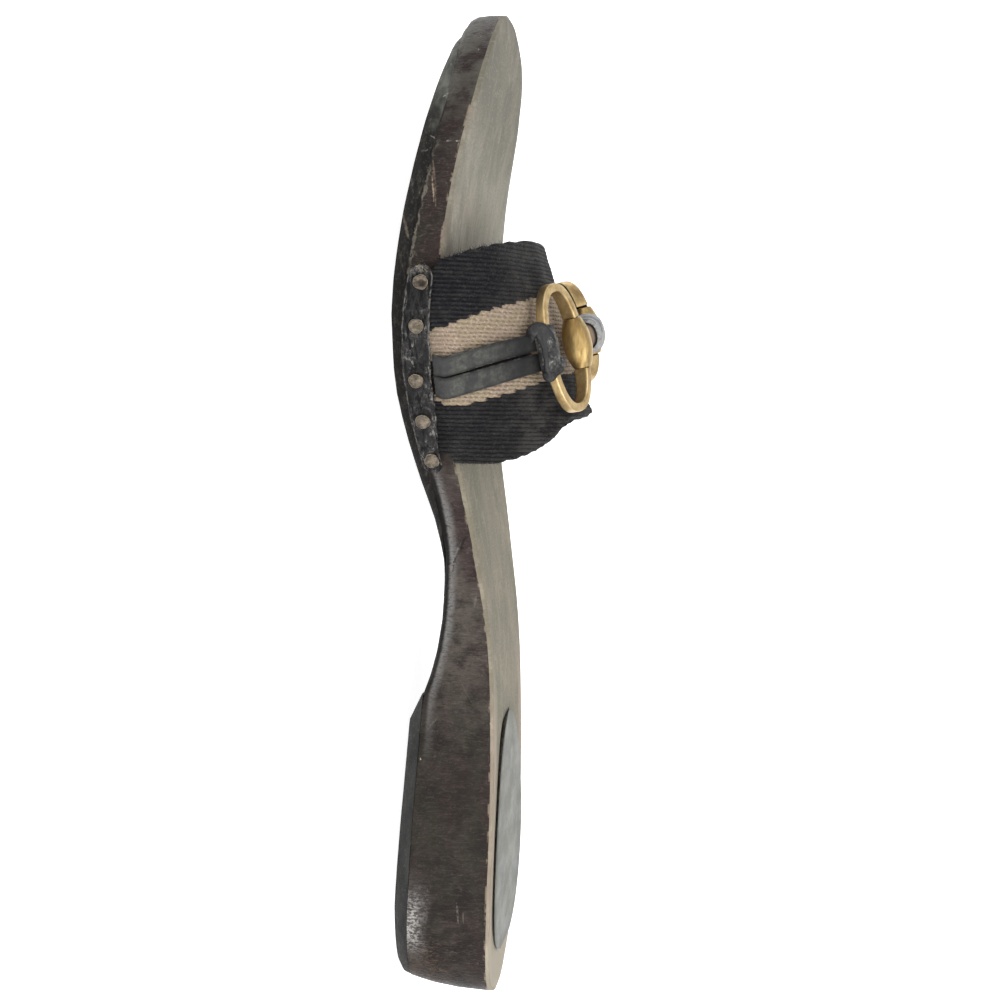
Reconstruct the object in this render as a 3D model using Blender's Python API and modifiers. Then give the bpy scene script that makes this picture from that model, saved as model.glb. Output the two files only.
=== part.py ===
"""Wooden slide sandal for the right foot.

A carved wooden sole with a rubber heel lift and a rubber forefoot sole, a thin
padded footbed with an oval heel pad, one arched webbing strap held to both
sides of the wood by leather rands and tacks, and a brass bit of two oval rings
tied down to the rands with leather thongs.

Frame: +X to the outer side of the foot, +Y to the toe, +Z up from the floor.
All tables are in millimetres, measured from the heel's rear edge, the middle of
the heel and the floor. A parent empty moves the whole sandal over the origin.
"""
import math

import bmesh
import bpy
import numpy as np
from mathutils import Matrix, Vector

MM = 0.001
GAP = 0.3  # clearance kept between pieces that touch
INNER, OUTER = -1, 1  # the two sides of the foot, by the sign of X

# ---------------------------------------------------------------- sole sizes
LENGTH = 250.4
SOLE_STATIONS = 52

# y along the foot, x of the inner and outer edge, height of the footbed edge
SOLE_PLAN = {
    "y": (0, 4, 12, 24, 40, 65, 95, 115, 145, 170, 190, 210, 230, 240, 246.4, 250.4),
    "inner": (-4, -17.8, -23.8, -27.2, -27.8, -24.9, -21.9, -24.2, -33.5, -43.0,
              -46.8, -43.3, -37.1, -31.2, -22.8, -8.0),
    "outer": (-2, 11.5, 20.7, 27.0, 29.5, 30.2, 33.5, 37.9, 45.1, 48.2,
              47.1, 42.0, 33.6, 26.0, 14.0, -5.0),
    "footbed": (23.2, 23.3, 23.6, 23.9, 24.1, 23.7, 21.6, 18.4, 13.4, 11.8,
                12.6, 15.0, 18.9, 20.8, 21.9, 22.4),
}

# underside of the wood, from the heel seat over the arch to the toe spring
WOOD_UNDERSIDE = {
    "y": (0, 12, 40, 71, 79.4, 84, 90, 98, 107, 115, 122, 129, 138, 147, 156,
          166, 176, 186, 200, 213, 226, 236, 244, 250.4),
    "z": (2.6, 3.1, 4.2, 5.5, 5.9, 7.3, 8.7, 9.9, 10.5, 10.8, 10.2, 9.0, 6.7, 4.5, 3.2,
          2.8, 3.1, 4.4, 6.7, 9.1, 12.2, 13.8, 14.3, 15.2),
}

# levels of the side wall: share of its height, how far it draws in at the
# sides, and how far it is undercut at the heel's rear and at the toe's nose
WALL_LEVELS = {
    "depth": (0.0, 0.4, 0.7, 0.88, 1.0),
    "side": (0.0, 0.1, 0.25, 0.4, 0.6),
    "rear": (0.0, 0.4, 1.2, 2.0, 2.7),
    "nose": (0.0, 0.1, 0.5, 1.5, 3.6),
}
REAR_REACH = 26.0  # how far from each end an undercut fades out
NOSE_REACH = 34.0
WAIST_BEVEL = 1.2  # bevel along the bottom edge between heel and ball
WAIST_START, WAIST_END = 78.0, 118.0

# ------------------------------------------------------------- rubber treads
LIFT_FRONT = 79.0
LIFT_TREAD = {  # flat where it stands, then rising to a chamfered front
    "y": (0, 25, 40, 58, 72.5, 79.0),
    "z": (0, 0, 0.8, 1.7, 2.4, 5.3),
}
LIFT_DRAW_IN = {"side": (0.5, 0.9, 2.5), "rear": (2.9, 3.6, 5.4), "depth": (0, 0.6, 1)}

FORE_START = 112.0
FORE_TREAD = {  # flat under the ball, then rising to the arch and to the toe
    "y": (112, 118, 124, 129, 134, 139, 144, 149, 155, 161, 174, 182, 191, 200,
          210, 220, 230, 237, 243, 250),
    "z": (10.2, 9.6, 8.4, 6.8, 5.2, 3.8, 2.5, 1.4, 0.4, 0, 0, 0.7, 1.9, 3.1,
          4.7, 6.7, 9.0, 10.9, 12.4, 13.6),
}
FORE_DRAW_IN = {"side": (0.7, 0.9, 1.8), "nose": (3.7, 3.9, 4.4), "depth": (0, 0.6, 1)}

# ------------------------------------------------------------------- footbed
INSOLE_INSET = 0.5
INSOLE_EDGE = 0.7  # thickness at the rim
INSOLE_ROLL = 9.0  # width of the rolled rim
INSOLE_CROWN = {"y": (0, 85, 120, 250), "z": (-0.25, -0.2, 0.45, 0.45)}  # inside the rim
INSOLE_STATIONS = 40

PAD_REAR, PAD_FRONT = 8.5, 71.0
PAD_MIDDLE_X = 1.4
PAD_HALF_WIDTH = 24.6
PAD_WIDEST = 0.40  # share of its length where it is widest
PAD_THICKNESS = 0.6

# --------------------------------------------------------------------- strap
WEB_THICKNESS = 1.8
WEB_TAIL = 7.0  # webbing that runs down the wall under the rand
WEB_START = 1.2  # the arch starts this far over the footbed edge
WEB_ARCH_STATIONS = 38
WEB_ROWS = 13
# rows across the webbing from its toe-side edge (0) to its heel-side edge (1)
WEB_PROFILE = {
    "share": (0.0, 0.34, 0.73, 1.0),
    "inner_y": (187.0, 170.0, 151.5, 138.8),
    "outer_y": (184.9, 168.5, 149.5, 136.0),
    "crest_x": (-3.5, -3.0, -1.5, 0.5),
    "crest_y": (193.9, 179.9, 160.8, 151.4),
    "crest_z": (31.6, 36.2, 41.2, 44.9),
    "inner_fullness": (1.95, 1.75, 1.75, 1.95),
    "outer_fullness": (1.65, 1.34, 1.34, 1.60),
    "inner_sweep": (1.0, 1.0, 1.4, 3.0),
    "outer_sweep": (1.0, 1.0, 1.0, 1.0),
}

RAND_THICKNESS = 1.3
RAND_STATIONS = 13
RAND = {  # the leather strip's lower and upper edge along the inner wall
    "y": (186.4, 176.0, 165.0, 153.0, 143.0, 137.2),
    "low": (5.7, 3.9, 3.2, 4.0, 5.9, 7.3),
    "high": (11.2, 10.4, 10.0, 10.6, 11.0, 11.9),
}
OUTER_RAND_SHIFT = -2.6  # the outer strip sits a little nearer the heel
TACK_RADIUS = 1.8
TACK_HEIGHT = 0.7
TACK_PLACES = {"y": (182.0, 172.1, 159.6, 149.8, 140.1), "z": (8.3, 7.0, 6.4, 7.5, 9.3)}

# ----------------------------------------------------------------------- bit
BIT_CENTRE = (0.0, 170.8, 42.1)
BIT_YAW = math.radians(7.0)  # outer end nearer the toe
BIT_PITCH = math.radians(13.5)  # heel end higher
BIT_ROLL = math.radians(2.1)  # outer end lower
BARREL_SPREAD = 15.2  # from the middle of the bit to each barrel's axis
BARREL_PROFILE = {  # radius of the olive-shaped barrel along its axis
    "along": (-6.3, -6.3, -5.2, -3.2, 0.0, 3.2, 5.2, 6.3, 6.3),
    "radius": (0.0, 2.25, 2.75, 3.5, 3.85, 3.5, 2.75, 2.25, 0.0),
}
RING_DROOP = {INNER: math.radians(26.5), OUTER: math.radians(39.0)}  # lean down from the bit
RING_SLIDE = {INNER: 0.0, OUTER: 1.2}  # each ring slides to the heel in its barrel
RING_LENGTH, RING_WIDTH = 30.4, 14.4  # of the bar's centre line
RING_SQUARENESS = 2.3
RING_BAR = 2.2  # bar thickness in the ring's plane
RING_DEPTH_THIN, RING_DEPTH_THICK = 2.5, 4.1  # bar depth far from and at the barrel
RING_SPLIT = 0.5  # from each end of the barrel to the bar
RING_STATIONS = 36

LINK_PROFILE = {  # radius of the link that joins the two barrels
    "along": (-11.0, -11.0, -9.2, -8.2, 8.2, 9.2, 11.0, 11.0),
    "radius": (0.0, 2.8, 2.8, 2.1, 2.1, 2.8, 2.8, 0.0),
}
KEEPER_WIDTH = 11.0
# half sizes along and up, and how far the middle is behind and over the link
KEEPER_OUTSIDE = {"half": (4.7, 4.1), "behind": 0.7, "over": 1.0}
KEEPER_BORE = {"half": (3.4, 3.1), "behind": 0.7, "over": 0.65}

HITCH_MIDDLE = math.radians(177.0)  # its place round the ring
HITCH_HALF_ANGLE = math.radians(21.5)
HITCH_STATIONS = 9
HITCH_WALL = 1.3
HITCH_SOLE_WALL = 0.6  # thinner where it faces the webbing

# ribbons from rand to hitch: place across the webbing at each end, and widths
THONGS = {
    "name": ("toe", "heel"),
    "start": (0.48, 0.595),
    "end": (0.515, 0.61),
    "width": (5.4, 5.6),
    "end_width": (4.2, 4.6),
}
THONG_THICKNESS = 1.2
THONG_FOOT = 0.36  # share of the tail that the thong reaches down over
THONG_END_ANGLE = {INNER: math.radians(46.0), OUTER: math.radians(37.0)}
THONG_END_LIFT = 1.2
THONG_STATIONS = 12

# ----------------------------------------------------------------- finishes
FINISHES = {  # base colour, roughness, metallic
    "stained_wood": ((0.048, 0.036, 0.031), 0.45, 0.0),
    "tread_rubber": ((0.075, 0.075, 0.072), 0.7, 0.0),
    "footbed_suede": ((0.25, 0.225, 0.19), 0.9, 0.0),
    "pad_leather": ((0.27, 0.28, 0.255), 0.6, 0.0),
    "striped_webbing": ((0.018, 0.018, 0.021), 0.9, 0.0),
    "rand_leather": ((0.04, 0.038, 0.036), 0.55, 0.0),
    "thong_leather": ((0.055, 0.058, 0.06), 0.5, 0.0),
    "keeper_leather": ((0.2, 0.205, 0.215), 0.55, 0.0),
    "aged_brass": ((0.42, 0.29, 0.12), 0.32, 1.0),
    "tack_metal": ((0.33, 0.27, 0.2), 0.45, 1.0),
}


# ------------------------------------------------------------------- tables
def smooth(at, stations, values):
    """A smooth curve through the rows of a table, by Hermite pieces."""
    stations = np.asarray(stations, float)
    values = np.asarray(values, float)
    slope = np.gradient(values, stations)
    k = int(np.clip(np.searchsorted(stations, at) - 1, 0, len(stations) - 2))
    span = stations[k + 1] - stations[k]
    t = min(max((at - stations[k]) / span, 0.0), 1.0)
    return float(
        (2 * t**3 - 3 * t**2 + 1) * values[k]
        + (t**3 - 2 * t**2 + t) * span * slope[k]
        + (3 * t**2 - 2 * t**3) * values[k + 1]
        + (t**3 - t**2) * span * slope[k + 1]
    )


def turn_of(y):
    """Angle that runs 0 to pi along the foot, so that its ends close round."""
    return math.acos(1 - 2 * min(max(y / LENGTH, 0.0), 1.0))


PLAN_TURNS = [turn_of(y) for y in SOLE_PLAN["y"]]


def edge_x(y, side):
    """x of the footbed's inner or outer edge."""
    column = SOLE_PLAN["inner" if side == INNER else "outer"]
    return smooth(turn_of(y), PLAN_TURNS, column)


def footbed_z(y):
    return smooth(y, SOLE_PLAN["y"], SOLE_PLAN["footbed"])


def underside_z(y):
    return float(np.interp(y, WOOD_UNDERSIDE["y"], WOOD_UNDERSIDE["z"]))


def stations_between(start, end, count, fixed=()):
    """Stations closer together towards the heel's and the toe's ends."""
    turns = np.linspace(turn_of(start), turn_of(end), count)
    ys = [LENGTH * (1 - math.cos(t)) / 2 for t in turns]
    inside = [y for y in fixed if start < y < end]
    kept = [y for y in ys[1:-1] if all(abs(y - f) > 1.2 for f in inside)]
    return sorted([start, *kept, *inside, end])


def undercut(y, rear, nose):
    """y moved in from the heel's rear and the toe's nose."""
    near_rear = max(0.0, 1 - y / REAR_REACH) ** 2
    near_nose = max(0.0, 1 - (LENGTH - y) / NOSE_REACH) ** 2
    return y + rear * near_rear - nose * near_nose


def drawn_in(y, side, inset):
    """x of the edge drawn in by inset, without crossing the middle."""
    middle = (edge_x(y, INNER) + edge_x(y, OUTER)) / 2
    half = abs(edge_x(y, side) - middle)
    return middle + side * (half - min(inset, half * 0.4))


def wall_point(y, side, out):
    """Plan point that stands out from the wooden side wall."""
    slope = (edge_x(y + 0.5, side) - edge_x(y - 0.5, side)) * side
    length = math.hypot(1, slope)
    return edge_x(y, side) + side * out / length, y - out * slope / length


# ------------------------------------------------------------ mesh building
def finish(name):
    material = bpy.data.materials.get(name)
    if material is None:
        colour, roughness, metallic = FINISHES[name]
        material = bpy.data.materials.new(name)
        material.use_nodes = True
        shader = material.node_tree.nodes["Principled BSDF"]
        shader.inputs["Base Color"].default_value = (*colour, 1.0)
        shader.inputs["Roughness"].default_value = roughness
        shader.inputs["Metallic"].default_value = metallic
    return material


def add_piece(name, bm, finish_name, sharp_angle=40):
    """Turns a bmesh in millimetres into a named object with its finish."""
    bmesh.ops.scale(bm, vec=(MM, MM, MM), verts=bm.verts)
    mesh = bpy.data.meshes.new(name)
    bm.to_mesh(mesh)
    bm.free()
    mesh.shade_smooth()
    mesh.set_sharp_from_angle(angle=math.radians(sharp_angle))
    piece = bpy.data.objects.new(name, mesh)
    mesh.materials.append(finish(finish_name))
    sandal.objects.link(piece)
    piece.parent = stand
    return piece


def loft(name, rings, finish_name, sharp_angle=40):
    """A closed solid through rings of points, with a flat cap at each end."""
    bm = bmesh.new()
    loops = [[bm.verts.new(p) for p in ring] for ring in rings]
    for a, b in zip(loops, loops[1:]):
        for i in range(len(a)):
            j = (i + 1) % len(a)
            bm.faces.new((a[i], a[j], b[j], b[i]))
    bm.faces.new(loops[0])
    bm.faces.new(loops[-1])
    bmesh.ops.recalc_face_normals(bm, faces=bm.faces)
    return add_piece(name, bm, finish_name, sharp_angle)


def sleeve(name, outer, inner, finish_name, sharp_angle=40):
    """A tube open at both ends, from rings of its outer and inner surface."""
    bm = bmesh.new()
    out = [[bm.verts.new(p) for p in ring] for ring in outer]
    bore = [[bm.verts.new(p) for p in ring] for ring in inner]
    count = len(out[0])
    for i in range(count):
        j = (i + 1) % count
        for surface in (out, bore):
            for a, b in zip(surface, surface[1:]):
                bm.faces.new((a[i], a[j], b[j], b[i]))
        for end in (0, -1):
            bm.faces.new((out[end][i], out[end][j], bore[end][j], bore[end][i]))
    bmesh.ops.recalc_face_normals(bm, faces=bm.faces)
    return add_piece(name, bm, finish_name, sharp_angle)


def sheet(name, grid, thickness, outward, finish_name):
    """A leather or fabric sheet: its outer face, thickened inwards."""
    bm = bmesh.new()
    rows = [[bm.verts.new(p) for p in row] for row in grid]
    for a, b in zip(rows, rows[1:]):
        for i in range(len(a) - 1):
            bm.faces.new((a[i], a[i + 1], b[i + 1], b[i]))
    bm.normal_update()
    bm.faces.ensure_lookup_table()
    if bm.faces[len(bm.faces) // 2].normal.dot(Vector(outward)) < 0:
        bmesh.ops.reverse_faces(bm, faces=bm.faces)
    piece = add_piece(name, bm, finish_name)
    solid = piece.modifiers.new("thickness", "SOLIDIFY")
    solid.thickness = thickness * MM
    solid.offset = -1
    return piece


def turned(name, profile, matrix, finish_name, steps=18):
    """A lathe-turned piece about the local Z axis, placed by a matrix in mm."""
    bm = bmesh.new()
    along, radius = profile["along"], profile["radius"]
    points = [bm.verts.new((r, 0, z)) for z, r in zip(reversed(along), reversed(radius))]
    for a, b in zip(points, points[1:]):
        bm.edges.new((a, b))
    piece = add_piece(name, bm, finish_name)
    screw = piece.modifiers.new("turning", "SCREW")
    screw.axis = "Z"
    screw.steps = screw.render_steps = steps
    screw.use_merge_vertices = True
    screw.merge_threshold = 1e-5
    screw.use_smooth_shade = True
    placed = matrix.copy()
    placed.translation = placed.translation * MM
    piece.matrix_local = placed
    return piece


# --------------------------------------------------------------------- sole
def make_wood():
    fixed = [y for y in WOOD_UNDERSIDE["y"] if y not in (0, LENGTH)]
    rings = []
    for y in stations_between(0, LENGTH, SOLE_STATIONS, fixed):
        side_points = []
        for level, depth in enumerate(WALL_LEVELS["depth"]):
            moved = undercut(y, WALL_LEVELS["rear"][level], WALL_LEVELS["nose"][level])
            top, bottom = footbed_z(moved), underside_z(moved)
            inset = WALL_LEVELS["side"][level]
            z = top + (bottom - top) * depth
            if WAIST_START < y < WAIST_END and level >= 3:
                z = bottom + (WAIST_BEVEL if level == 3 else 0.0)
                inset = WALL_LEVELS["side"][level] + (0.0 if level == 3 else WAIST_BEVEL)
            side_points.append((moved, z, inset))
        inner = [(drawn_in(y, INNER, i), m, z) for m, z, i in side_points]
        outer = [(drawn_in(y, OUTER, i), m, z) for m, z, i in side_points]
        rings.append(inner + outer[::-1])
    return loft("sole_wood", rings, "stained_wood")


def make_tread(name, ys, tread, draw_in, rear, nose):
    """A rubber tread between the wood's underside and its own lower line."""
    rings = []
    for y in ys:
        side_points = []
        for level, depth in enumerate(draw_in["depth"]):
            moved = undercut(y, rear[level], nose[level])
            top = underside_z(moved) - GAP
            bottom = float(np.interp(moved, tread["y"], tread["z"]))
            side_points.append((moved, top + (bottom - top) * depth, draw_in["side"][level]))
        inner = [(drawn_in(y, INNER, i), m, z) for m, z, i in side_points]
        outer = [(drawn_in(y, OUTER, i), m, z) for m, z, i in side_points]
        rings.append(inner + outer[::-1])
    return loft(name, rings, "tread_rubber")


def make_treads():
    none = (0.0, 0.0, 0.0)
    lift_ys = stations_between(0, LIFT_FRONT, 24, LIFT_TREAD["y"])
    make_tread("heel_lift", lift_ys, LIFT_TREAD, LIFT_DRAW_IN, LIFT_DRAW_IN["rear"], none)
    fore_ys = stations_between(FORE_START, LENGTH, 26, FORE_TREAD["y"][1:])
    make_tread("outsole_forefoot", fore_ys, FORE_TREAD, FORE_DRAW_IN, none, FORE_DRAW_IN["nose"])


def insole_top(x, y):
    """Height of the padded footbed, rolled down towards its rim."""
    rim = min(x - edge_x(y, INNER), edge_x(y, OUTER) - x) - INSOLE_INSET
    ends = min(y, LENGTH - y)
    roll = min(max(min(rim, ends) / INSOLE_ROLL, 0.0), 1.0)
    crown = float(np.interp(y, INSOLE_CROWN["y"], INSOLE_CROWN["z"]))
    return footbed_z(y) + GAP + INSOLE_EDGE + crown * (1 - (1 - roll) ** 2)


def make_insole():
    across = (0.0, 0.045, 0.12, 0.5, 0.88, 0.955, 1.0)
    rings = []
    for y in stations_between(INSOLE_INSET, LENGTH - INSOLE_INSET, INSOLE_STATIONS):
        left = drawn_in(y, INNER, INSOLE_INSET)
        right = drawn_in(y, OUTER, INSOLE_INSET)
        xs = [left + (right - left) * share for share in across]
        base = footbed_z(y) + GAP
        rings.append(
            [(x, y, insole_top(x, y)) for x in xs] + [(right, y, base), (left, y, base)]
        )
    return loft("insole", rings, "footbed_suede", sharp_angle=60)


def make_heel_pad():
    """An egg-shaped leather pad on the heel seat, wider towards the rear."""
    length = PAD_FRONT - PAD_REAR
    across = np.linspace(-1, 1, 7)
    rings = []
    for turn in np.linspace(0.06, math.pi - 0.06, 18):
        share = (1 - math.cos(turn)) / 2
        skewed = share ** (math.log(0.5) / math.log(PAD_WIDEST))
        half = PAD_HALF_WIDTH * 2 * math.sqrt(skewed * (1 - skewed))
        y = PAD_REAR + length * share
        xs = [PAD_MIDDLE_X + half * a for a in across]
        base = [(x, y, insole_top(x, y) + GAP) for x in xs]
        top = [(x, y, z + PAD_THICKNESS) for x, y, z in base]
        rings.append(base + top[::-1])
    return loft("heel_pad", rings, "pad_leather")


# -------------------------------------------------------------------- strap
def web_row(share):
    return {
        key: smooth(share, WEB_PROFILE["share"], column)
        for key, column in WEB_PROFILE.items()
        if key != "share"
    }


def web_point(angle, share):
    """Point on the webbing's outer face: angle 0 to pi over the foot arch.

    Below 0 and above pi it hangs down the wall, a whole tail at -1 and pi + 1.
    """
    row = web_row(share)
    end = "inner" if angle < math.pi / 2 else "outer"
    start_y = row[f"{end}_y"]
    side = INNER if end == "inner" else OUTER
    base_x, base_y = wall_point(start_y, side, GAP + WEB_THICKNESS)
    base_z = footbed_z(start_y) + WEB_START
    below = max(-angle, angle - math.pi, 0.0)
    if below > 0:
        return Vector((base_x, base_y, base_z - below * WEB_TAIL))
    power = 2 / row[f"{end}_fullness"]
    rise = math.sin(angle) ** power
    across = abs(math.cos(angle)) ** power
    return Vector((
        row["crest_x"] + (base_x - row["crest_x"]) * across,
        base_y + (row["crest_y"] - base_y) * rise ** row[f"{end}_sweep"],
        base_z + (row["crest_z"] - base_z) * rise,
    ))


def web_frame(angle, share):
    """Point, direction over the foot, direction across, and outward normal."""
    step = 0.01
    point = web_point(angle, share)
    along = (web_point(angle + step, share) - web_point(angle - step, share)).normalized()
    low, high = max(share - step, 0.0), min(share + step, 1.0)
    across = (web_point(angle, high) - web_point(angle, low)).normalized()
    return point, along, across, across.cross(along).normalized()


def make_strap():
    tail = [-1.0, -0.5, 0.0]
    arch = list(np.linspace(0, math.pi, WEB_ARCH_STATIONS)[1:-1])
    angles = tail + arch + [math.pi - t for t in reversed(tail)]
    grid = [[web_point(a, s) for s in np.linspace(0, 1, WEB_ROWS)] for a in angles]
    return sheet("strap_web", grid, WEB_THICKNESS, (0, 0, 1), "striped_webbing")


def rand_span(side):
    shift = 0.0 if side == INNER else OUTER_RAND_SHIFT
    return shift, GAP + WEB_THICKNESS + GAP + RAND_THICKNESS


def make_rand(name, side):
    shift, out = rand_span(side)
    grid = []
    for y in np.linspace(RAND["y"][0], RAND["y"][-1], RAND_STATIONS):
        low = smooth(-y, [-v for v in RAND["y"]], RAND["low"])
        high = smooth(-y, [-v for v in RAND["y"]], RAND["high"])
        x, moved = wall_point(y + shift, side, out)
        grid.append([(x, moved, z) for z in np.linspace(low, high, 3)])
    return sheet(name, grid, RAND_THICKNESS, (side, 0, 0), "rand_leather")


def make_tacks(prefix, side):
    """Low domed tack heads, each facing straight out from the wall."""
    shift, out = rand_span(side)
    profile = {
        "along": (0.0, 0.0, TACK_HEIGHT * 0.55, TACK_HEIGHT * 0.9, TACK_HEIGHT),
        "radius": (0.0, TACK_RADIUS, TACK_RADIUS, TACK_RADIUS * 0.7, 0.0),
    }
    for number, (y, z) in enumerate(zip(TACK_PLACES["y"], TACK_PLACES["z"]), start=1):
        near = Vector((*wall_point(y + shift, side, out), z))
        far = Vector((*wall_point(y + shift, side, out + 1), z))
        facing = (far - near).normalized()
        matrix = facing.to_track_quat("Z", "Y").to_matrix().to_4x4()
        matrix.translation = near + facing * GAP
        turned(f"{prefix}_{number}", profile, matrix, "tack_metal", steps=14)


# ---------------------------------------------------------------------- bit
TURN = (
    Matrix.Rotation(BIT_YAW, 3, "Z") @ Matrix.Rotation(BIT_ROLL, 3, "Y")
    @ Matrix.Rotation(-BIT_PITCH, 3, "X")
)
LINK_DIR, TOE_DIR, UP_DIR = TURN.col[0], TURN.col[1], TURN.col[2]


def axis_matrix(axis, centre):
    matrix = axis.to_track_quat("Z", "Y").to_matrix().to_4x4()
    matrix.translation = centre
    return matrix


def barrel_centre(side):
    return Vector(BIT_CENTRE) + LINK_DIR * side * BARREL_SPREAD


def ring_frame(side, turn):
    """Centre, outward normal, depth direction and half depth of the ring's bar.

    turn is 0 at the barrel and pi at the leg that is tied to the rand.
    """
    droop = RING_DROOP[side]
    out = LINK_DIR * side * math.cos(droop) - UP_DIR * math.sin(droop)
    depth = out.cross(TOE_DIR) * side
    centre = barrel_centre(side) + out * RING_WIDTH / 2 - TOE_DIR * RING_SLIDE[side]

    def place(t):
        power = 2 / RING_SQUARENESS
        a = -math.copysign(abs(math.cos(t)) ** power, math.cos(t)) * RING_WIDTH / 2
        b = math.copysign(abs(math.sin(t)) ** power, math.sin(t)) * RING_LENGTH / 2
        return centre + out * a + TOE_DIR * b

    tangent = (place(turn + 0.01) - place(turn - 0.01)).normalized()
    normal = tangent.cross(depth).normalized()
    if normal.dot(place(turn) - centre) < 0:
        normal = -normal
    taper = ((1 + math.cos(turn)) / 2) ** 1.5
    half = (RING_DEPTH_THIN + (RING_DEPTH_THICK - RING_DEPTH_THIN) * taper) / 2
    return place(turn), normal, depth, half


def bar_ring(side, turn, grow=0.0, grow_under=None, corner=0.35):
    """Eight points round the ring's bar, its corners cut off."""
    point, normal, depth, half = ring_frame(side, turn)
    wide = RING_BAR / 2 + grow
    over = half + grow
    under = half + (grow if grow_under is None else grow_under)
    cut = corner + grow * 0.4
    corners = [
        (wide, over - cut), (wide - cut, over), (cut - wide, over), (-wide, over - cut),
        (-wide, cut - under), (cut - wide, -under), (wide - cut, -under), (wide, cut - under),
    ]
    return [point + normal * a + depth * b for a, b in corners]


def ring_turns(side):
    """From the barrel's toe end round the tied leg to its heel end."""
    barrel_end = BARREL_PROFILE["along"][-1] + RING_SPLIT
    toe_end, heel_end = (
        math.asin((reach / (RING_LENGTH / 2)) ** (RING_SQUARENESS / 2))
        for reach in (barrel_end + RING_SLIDE[side], barrel_end - RING_SLIDE[side])
    )
    return np.linspace(toe_end, 2 * math.pi - heel_end, RING_STATIONS)


def make_hitch(name, side):
    """The thongs' knot: a sleeve round the ring's leg, fuller at its ends."""
    outer, inner = [], []
    for share in np.linspace(-1, 1, HITCH_STATIONS):
        turn = HITCH_MIDDLE + share * HITCH_HALF_ANGLE
        lobe = 0.35 * share**2 - (0.25 if abs(share) == 1 else 0.0)
        outer.append(bar_ring(
            side, turn, GAP + HITCH_WALL + lobe, GAP + HITCH_SOLE_WALL, corner=0.6))
        inner.append(bar_ring(side, turn, GAP))
    return sleeve(name, outer, inner, "thong_leather", sharp_angle=50)


def keeper_ring(along, size):
    """Points round the keeper loop, at a place along the link."""
    half_y, half_z = size["half"]
    centre = Vector(BIT_CENTRE) + LINK_DIR * along
    centre += UP_DIR * size["over"] - TOE_DIR * size["behind"]
    squareness = 2 / 2.4
    points = []
    for turn in np.linspace(0, 2 * math.pi, 21)[:-1]:
        c, s = math.cos(turn), math.sin(turn)
        y = math.copysign(abs(c) ** squareness, c) * half_y
        z = math.copysign(abs(s) ** squareness, s) * half_z
        points.append(centre + TOE_DIR * y + UP_DIR * z)
    return points


def make_keeper():
    """The leather keeper that wraps the link and rests on the strap's crest."""
    places = np.linspace(-KEEPER_WIDTH / 2, KEEPER_WIDTH / 2, 3)
    outer = [keeper_ring(along, KEEPER_OUTSIDE) for along in places]
    inner = [keeper_ring(along, KEEPER_BORE) for along in places]
    return sleeve("bit_keeper", outer, inner, "keeper_leather")


def make_bit():
    for side, name in ((INNER, "medial"), (OUTER, "lateral")):
        matrix = axis_matrix(TOE_DIR, barrel_centre(side))
        turned(f"barrel_{name}", BARREL_PROFILE, matrix, "aged_brass")
        rings = [bar_ring(side, turn) for turn in ring_turns(side)]
        loft(f"ring_{name}", rings, "aged_brass", sharp_angle=35)
        make_hitch(f"hitch_{name}", side)
    turned("bit_link", LINK_PROFILE, axis_matrix(LINK_DIR, Vector(BIT_CENTRE)), "aged_brass")
    make_keeper()


def make_thong(name, side, row):
    """A flat ribbon over the webbing, lifted where it reaches the hitch."""
    column = {key: values[row] for key, values in THONGS.items()}
    grid = []
    for share in np.linspace(0, 1, THONG_STATIONS):
        angle = -THONG_FOOT + (THONG_END_ANGLE[side] + THONG_FOOT) * share
        if side == OUTER:
            angle = math.pi - angle
        place = column["start"] + (column["end"] - column["start"]) * share
        half = (column["width"] + (column["end_width"] - column["width"]) * share) / 2
        point, _, across, normal = web_frame(angle, place)
        lifted = point + normal * (GAP + THONG_THICKNESS + THONG_END_LIFT * share**4)
        grid.append([lifted + across * offset for offset in (-half, 0, half)])
    return sheet(f"thong_{name}", grid, THONG_THICKNESS, (side, 0, 0.5), "thong_leather")


# ----------------------------------------------------------------- assembly
def centre_over_origin():
    """Moves the stand so that the sandal's box is centred over the origin."""
    bpy.context.view_layer.update()
    depsgraph = bpy.context.evaluated_depsgraph_get()
    corners = []
    for piece in sandal.objects:
        if piece.type == "MESH":
            shape = piece.evaluated_get(depsgraph)
            corners += [shape.matrix_world @ v.co for v in shape.data.vertices]
    low = [min(c[i] for c in corners) for i in range(3)]
    high = [max(c[i] for c in corners) for i in range(3)]
    stand.location = (-(low[0] + high[0]) / 2, -(low[1] + high[1]) / 2, -low[2])


for leftover in list(bpy.data.objects):
    bpy.data.objects.remove(leftover, do_unlink=True)

sandal = bpy.data.collections.new("slide_sandal")
bpy.context.scene.collection.children.link(sandal)
stand = bpy.data.objects.new("stand", None)
sandal.objects.link(stand)

make_wood()
make_treads()
make_insole()
make_heel_pad()
make_strap()
for foot_side, side_name in ((INNER, "medial"), (OUTER, "lateral")):
    make_rand(f"rand_{side_name}", foot_side)
    make_tacks(f"tack_{side_name}", foot_side)
    for thong_row, thong_name in enumerate(THONGS["name"]):
        make_thong(f"{side_name}_{thong_name}", foot_side, thong_row)
make_bit()
centre_over_origin()
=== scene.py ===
"""The finished look of a wooden slide sandal.

Every piece is laid out in millimetres from the heel's rear edge, the middle of
the heel and the floor, and then moved over the origin, where the frame has it.
-X is the inner side of the foot, +Y the toe and +Z up.
"""
import math

import bpy
import numpy as np
from mathutils import Matrix, Vector


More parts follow.
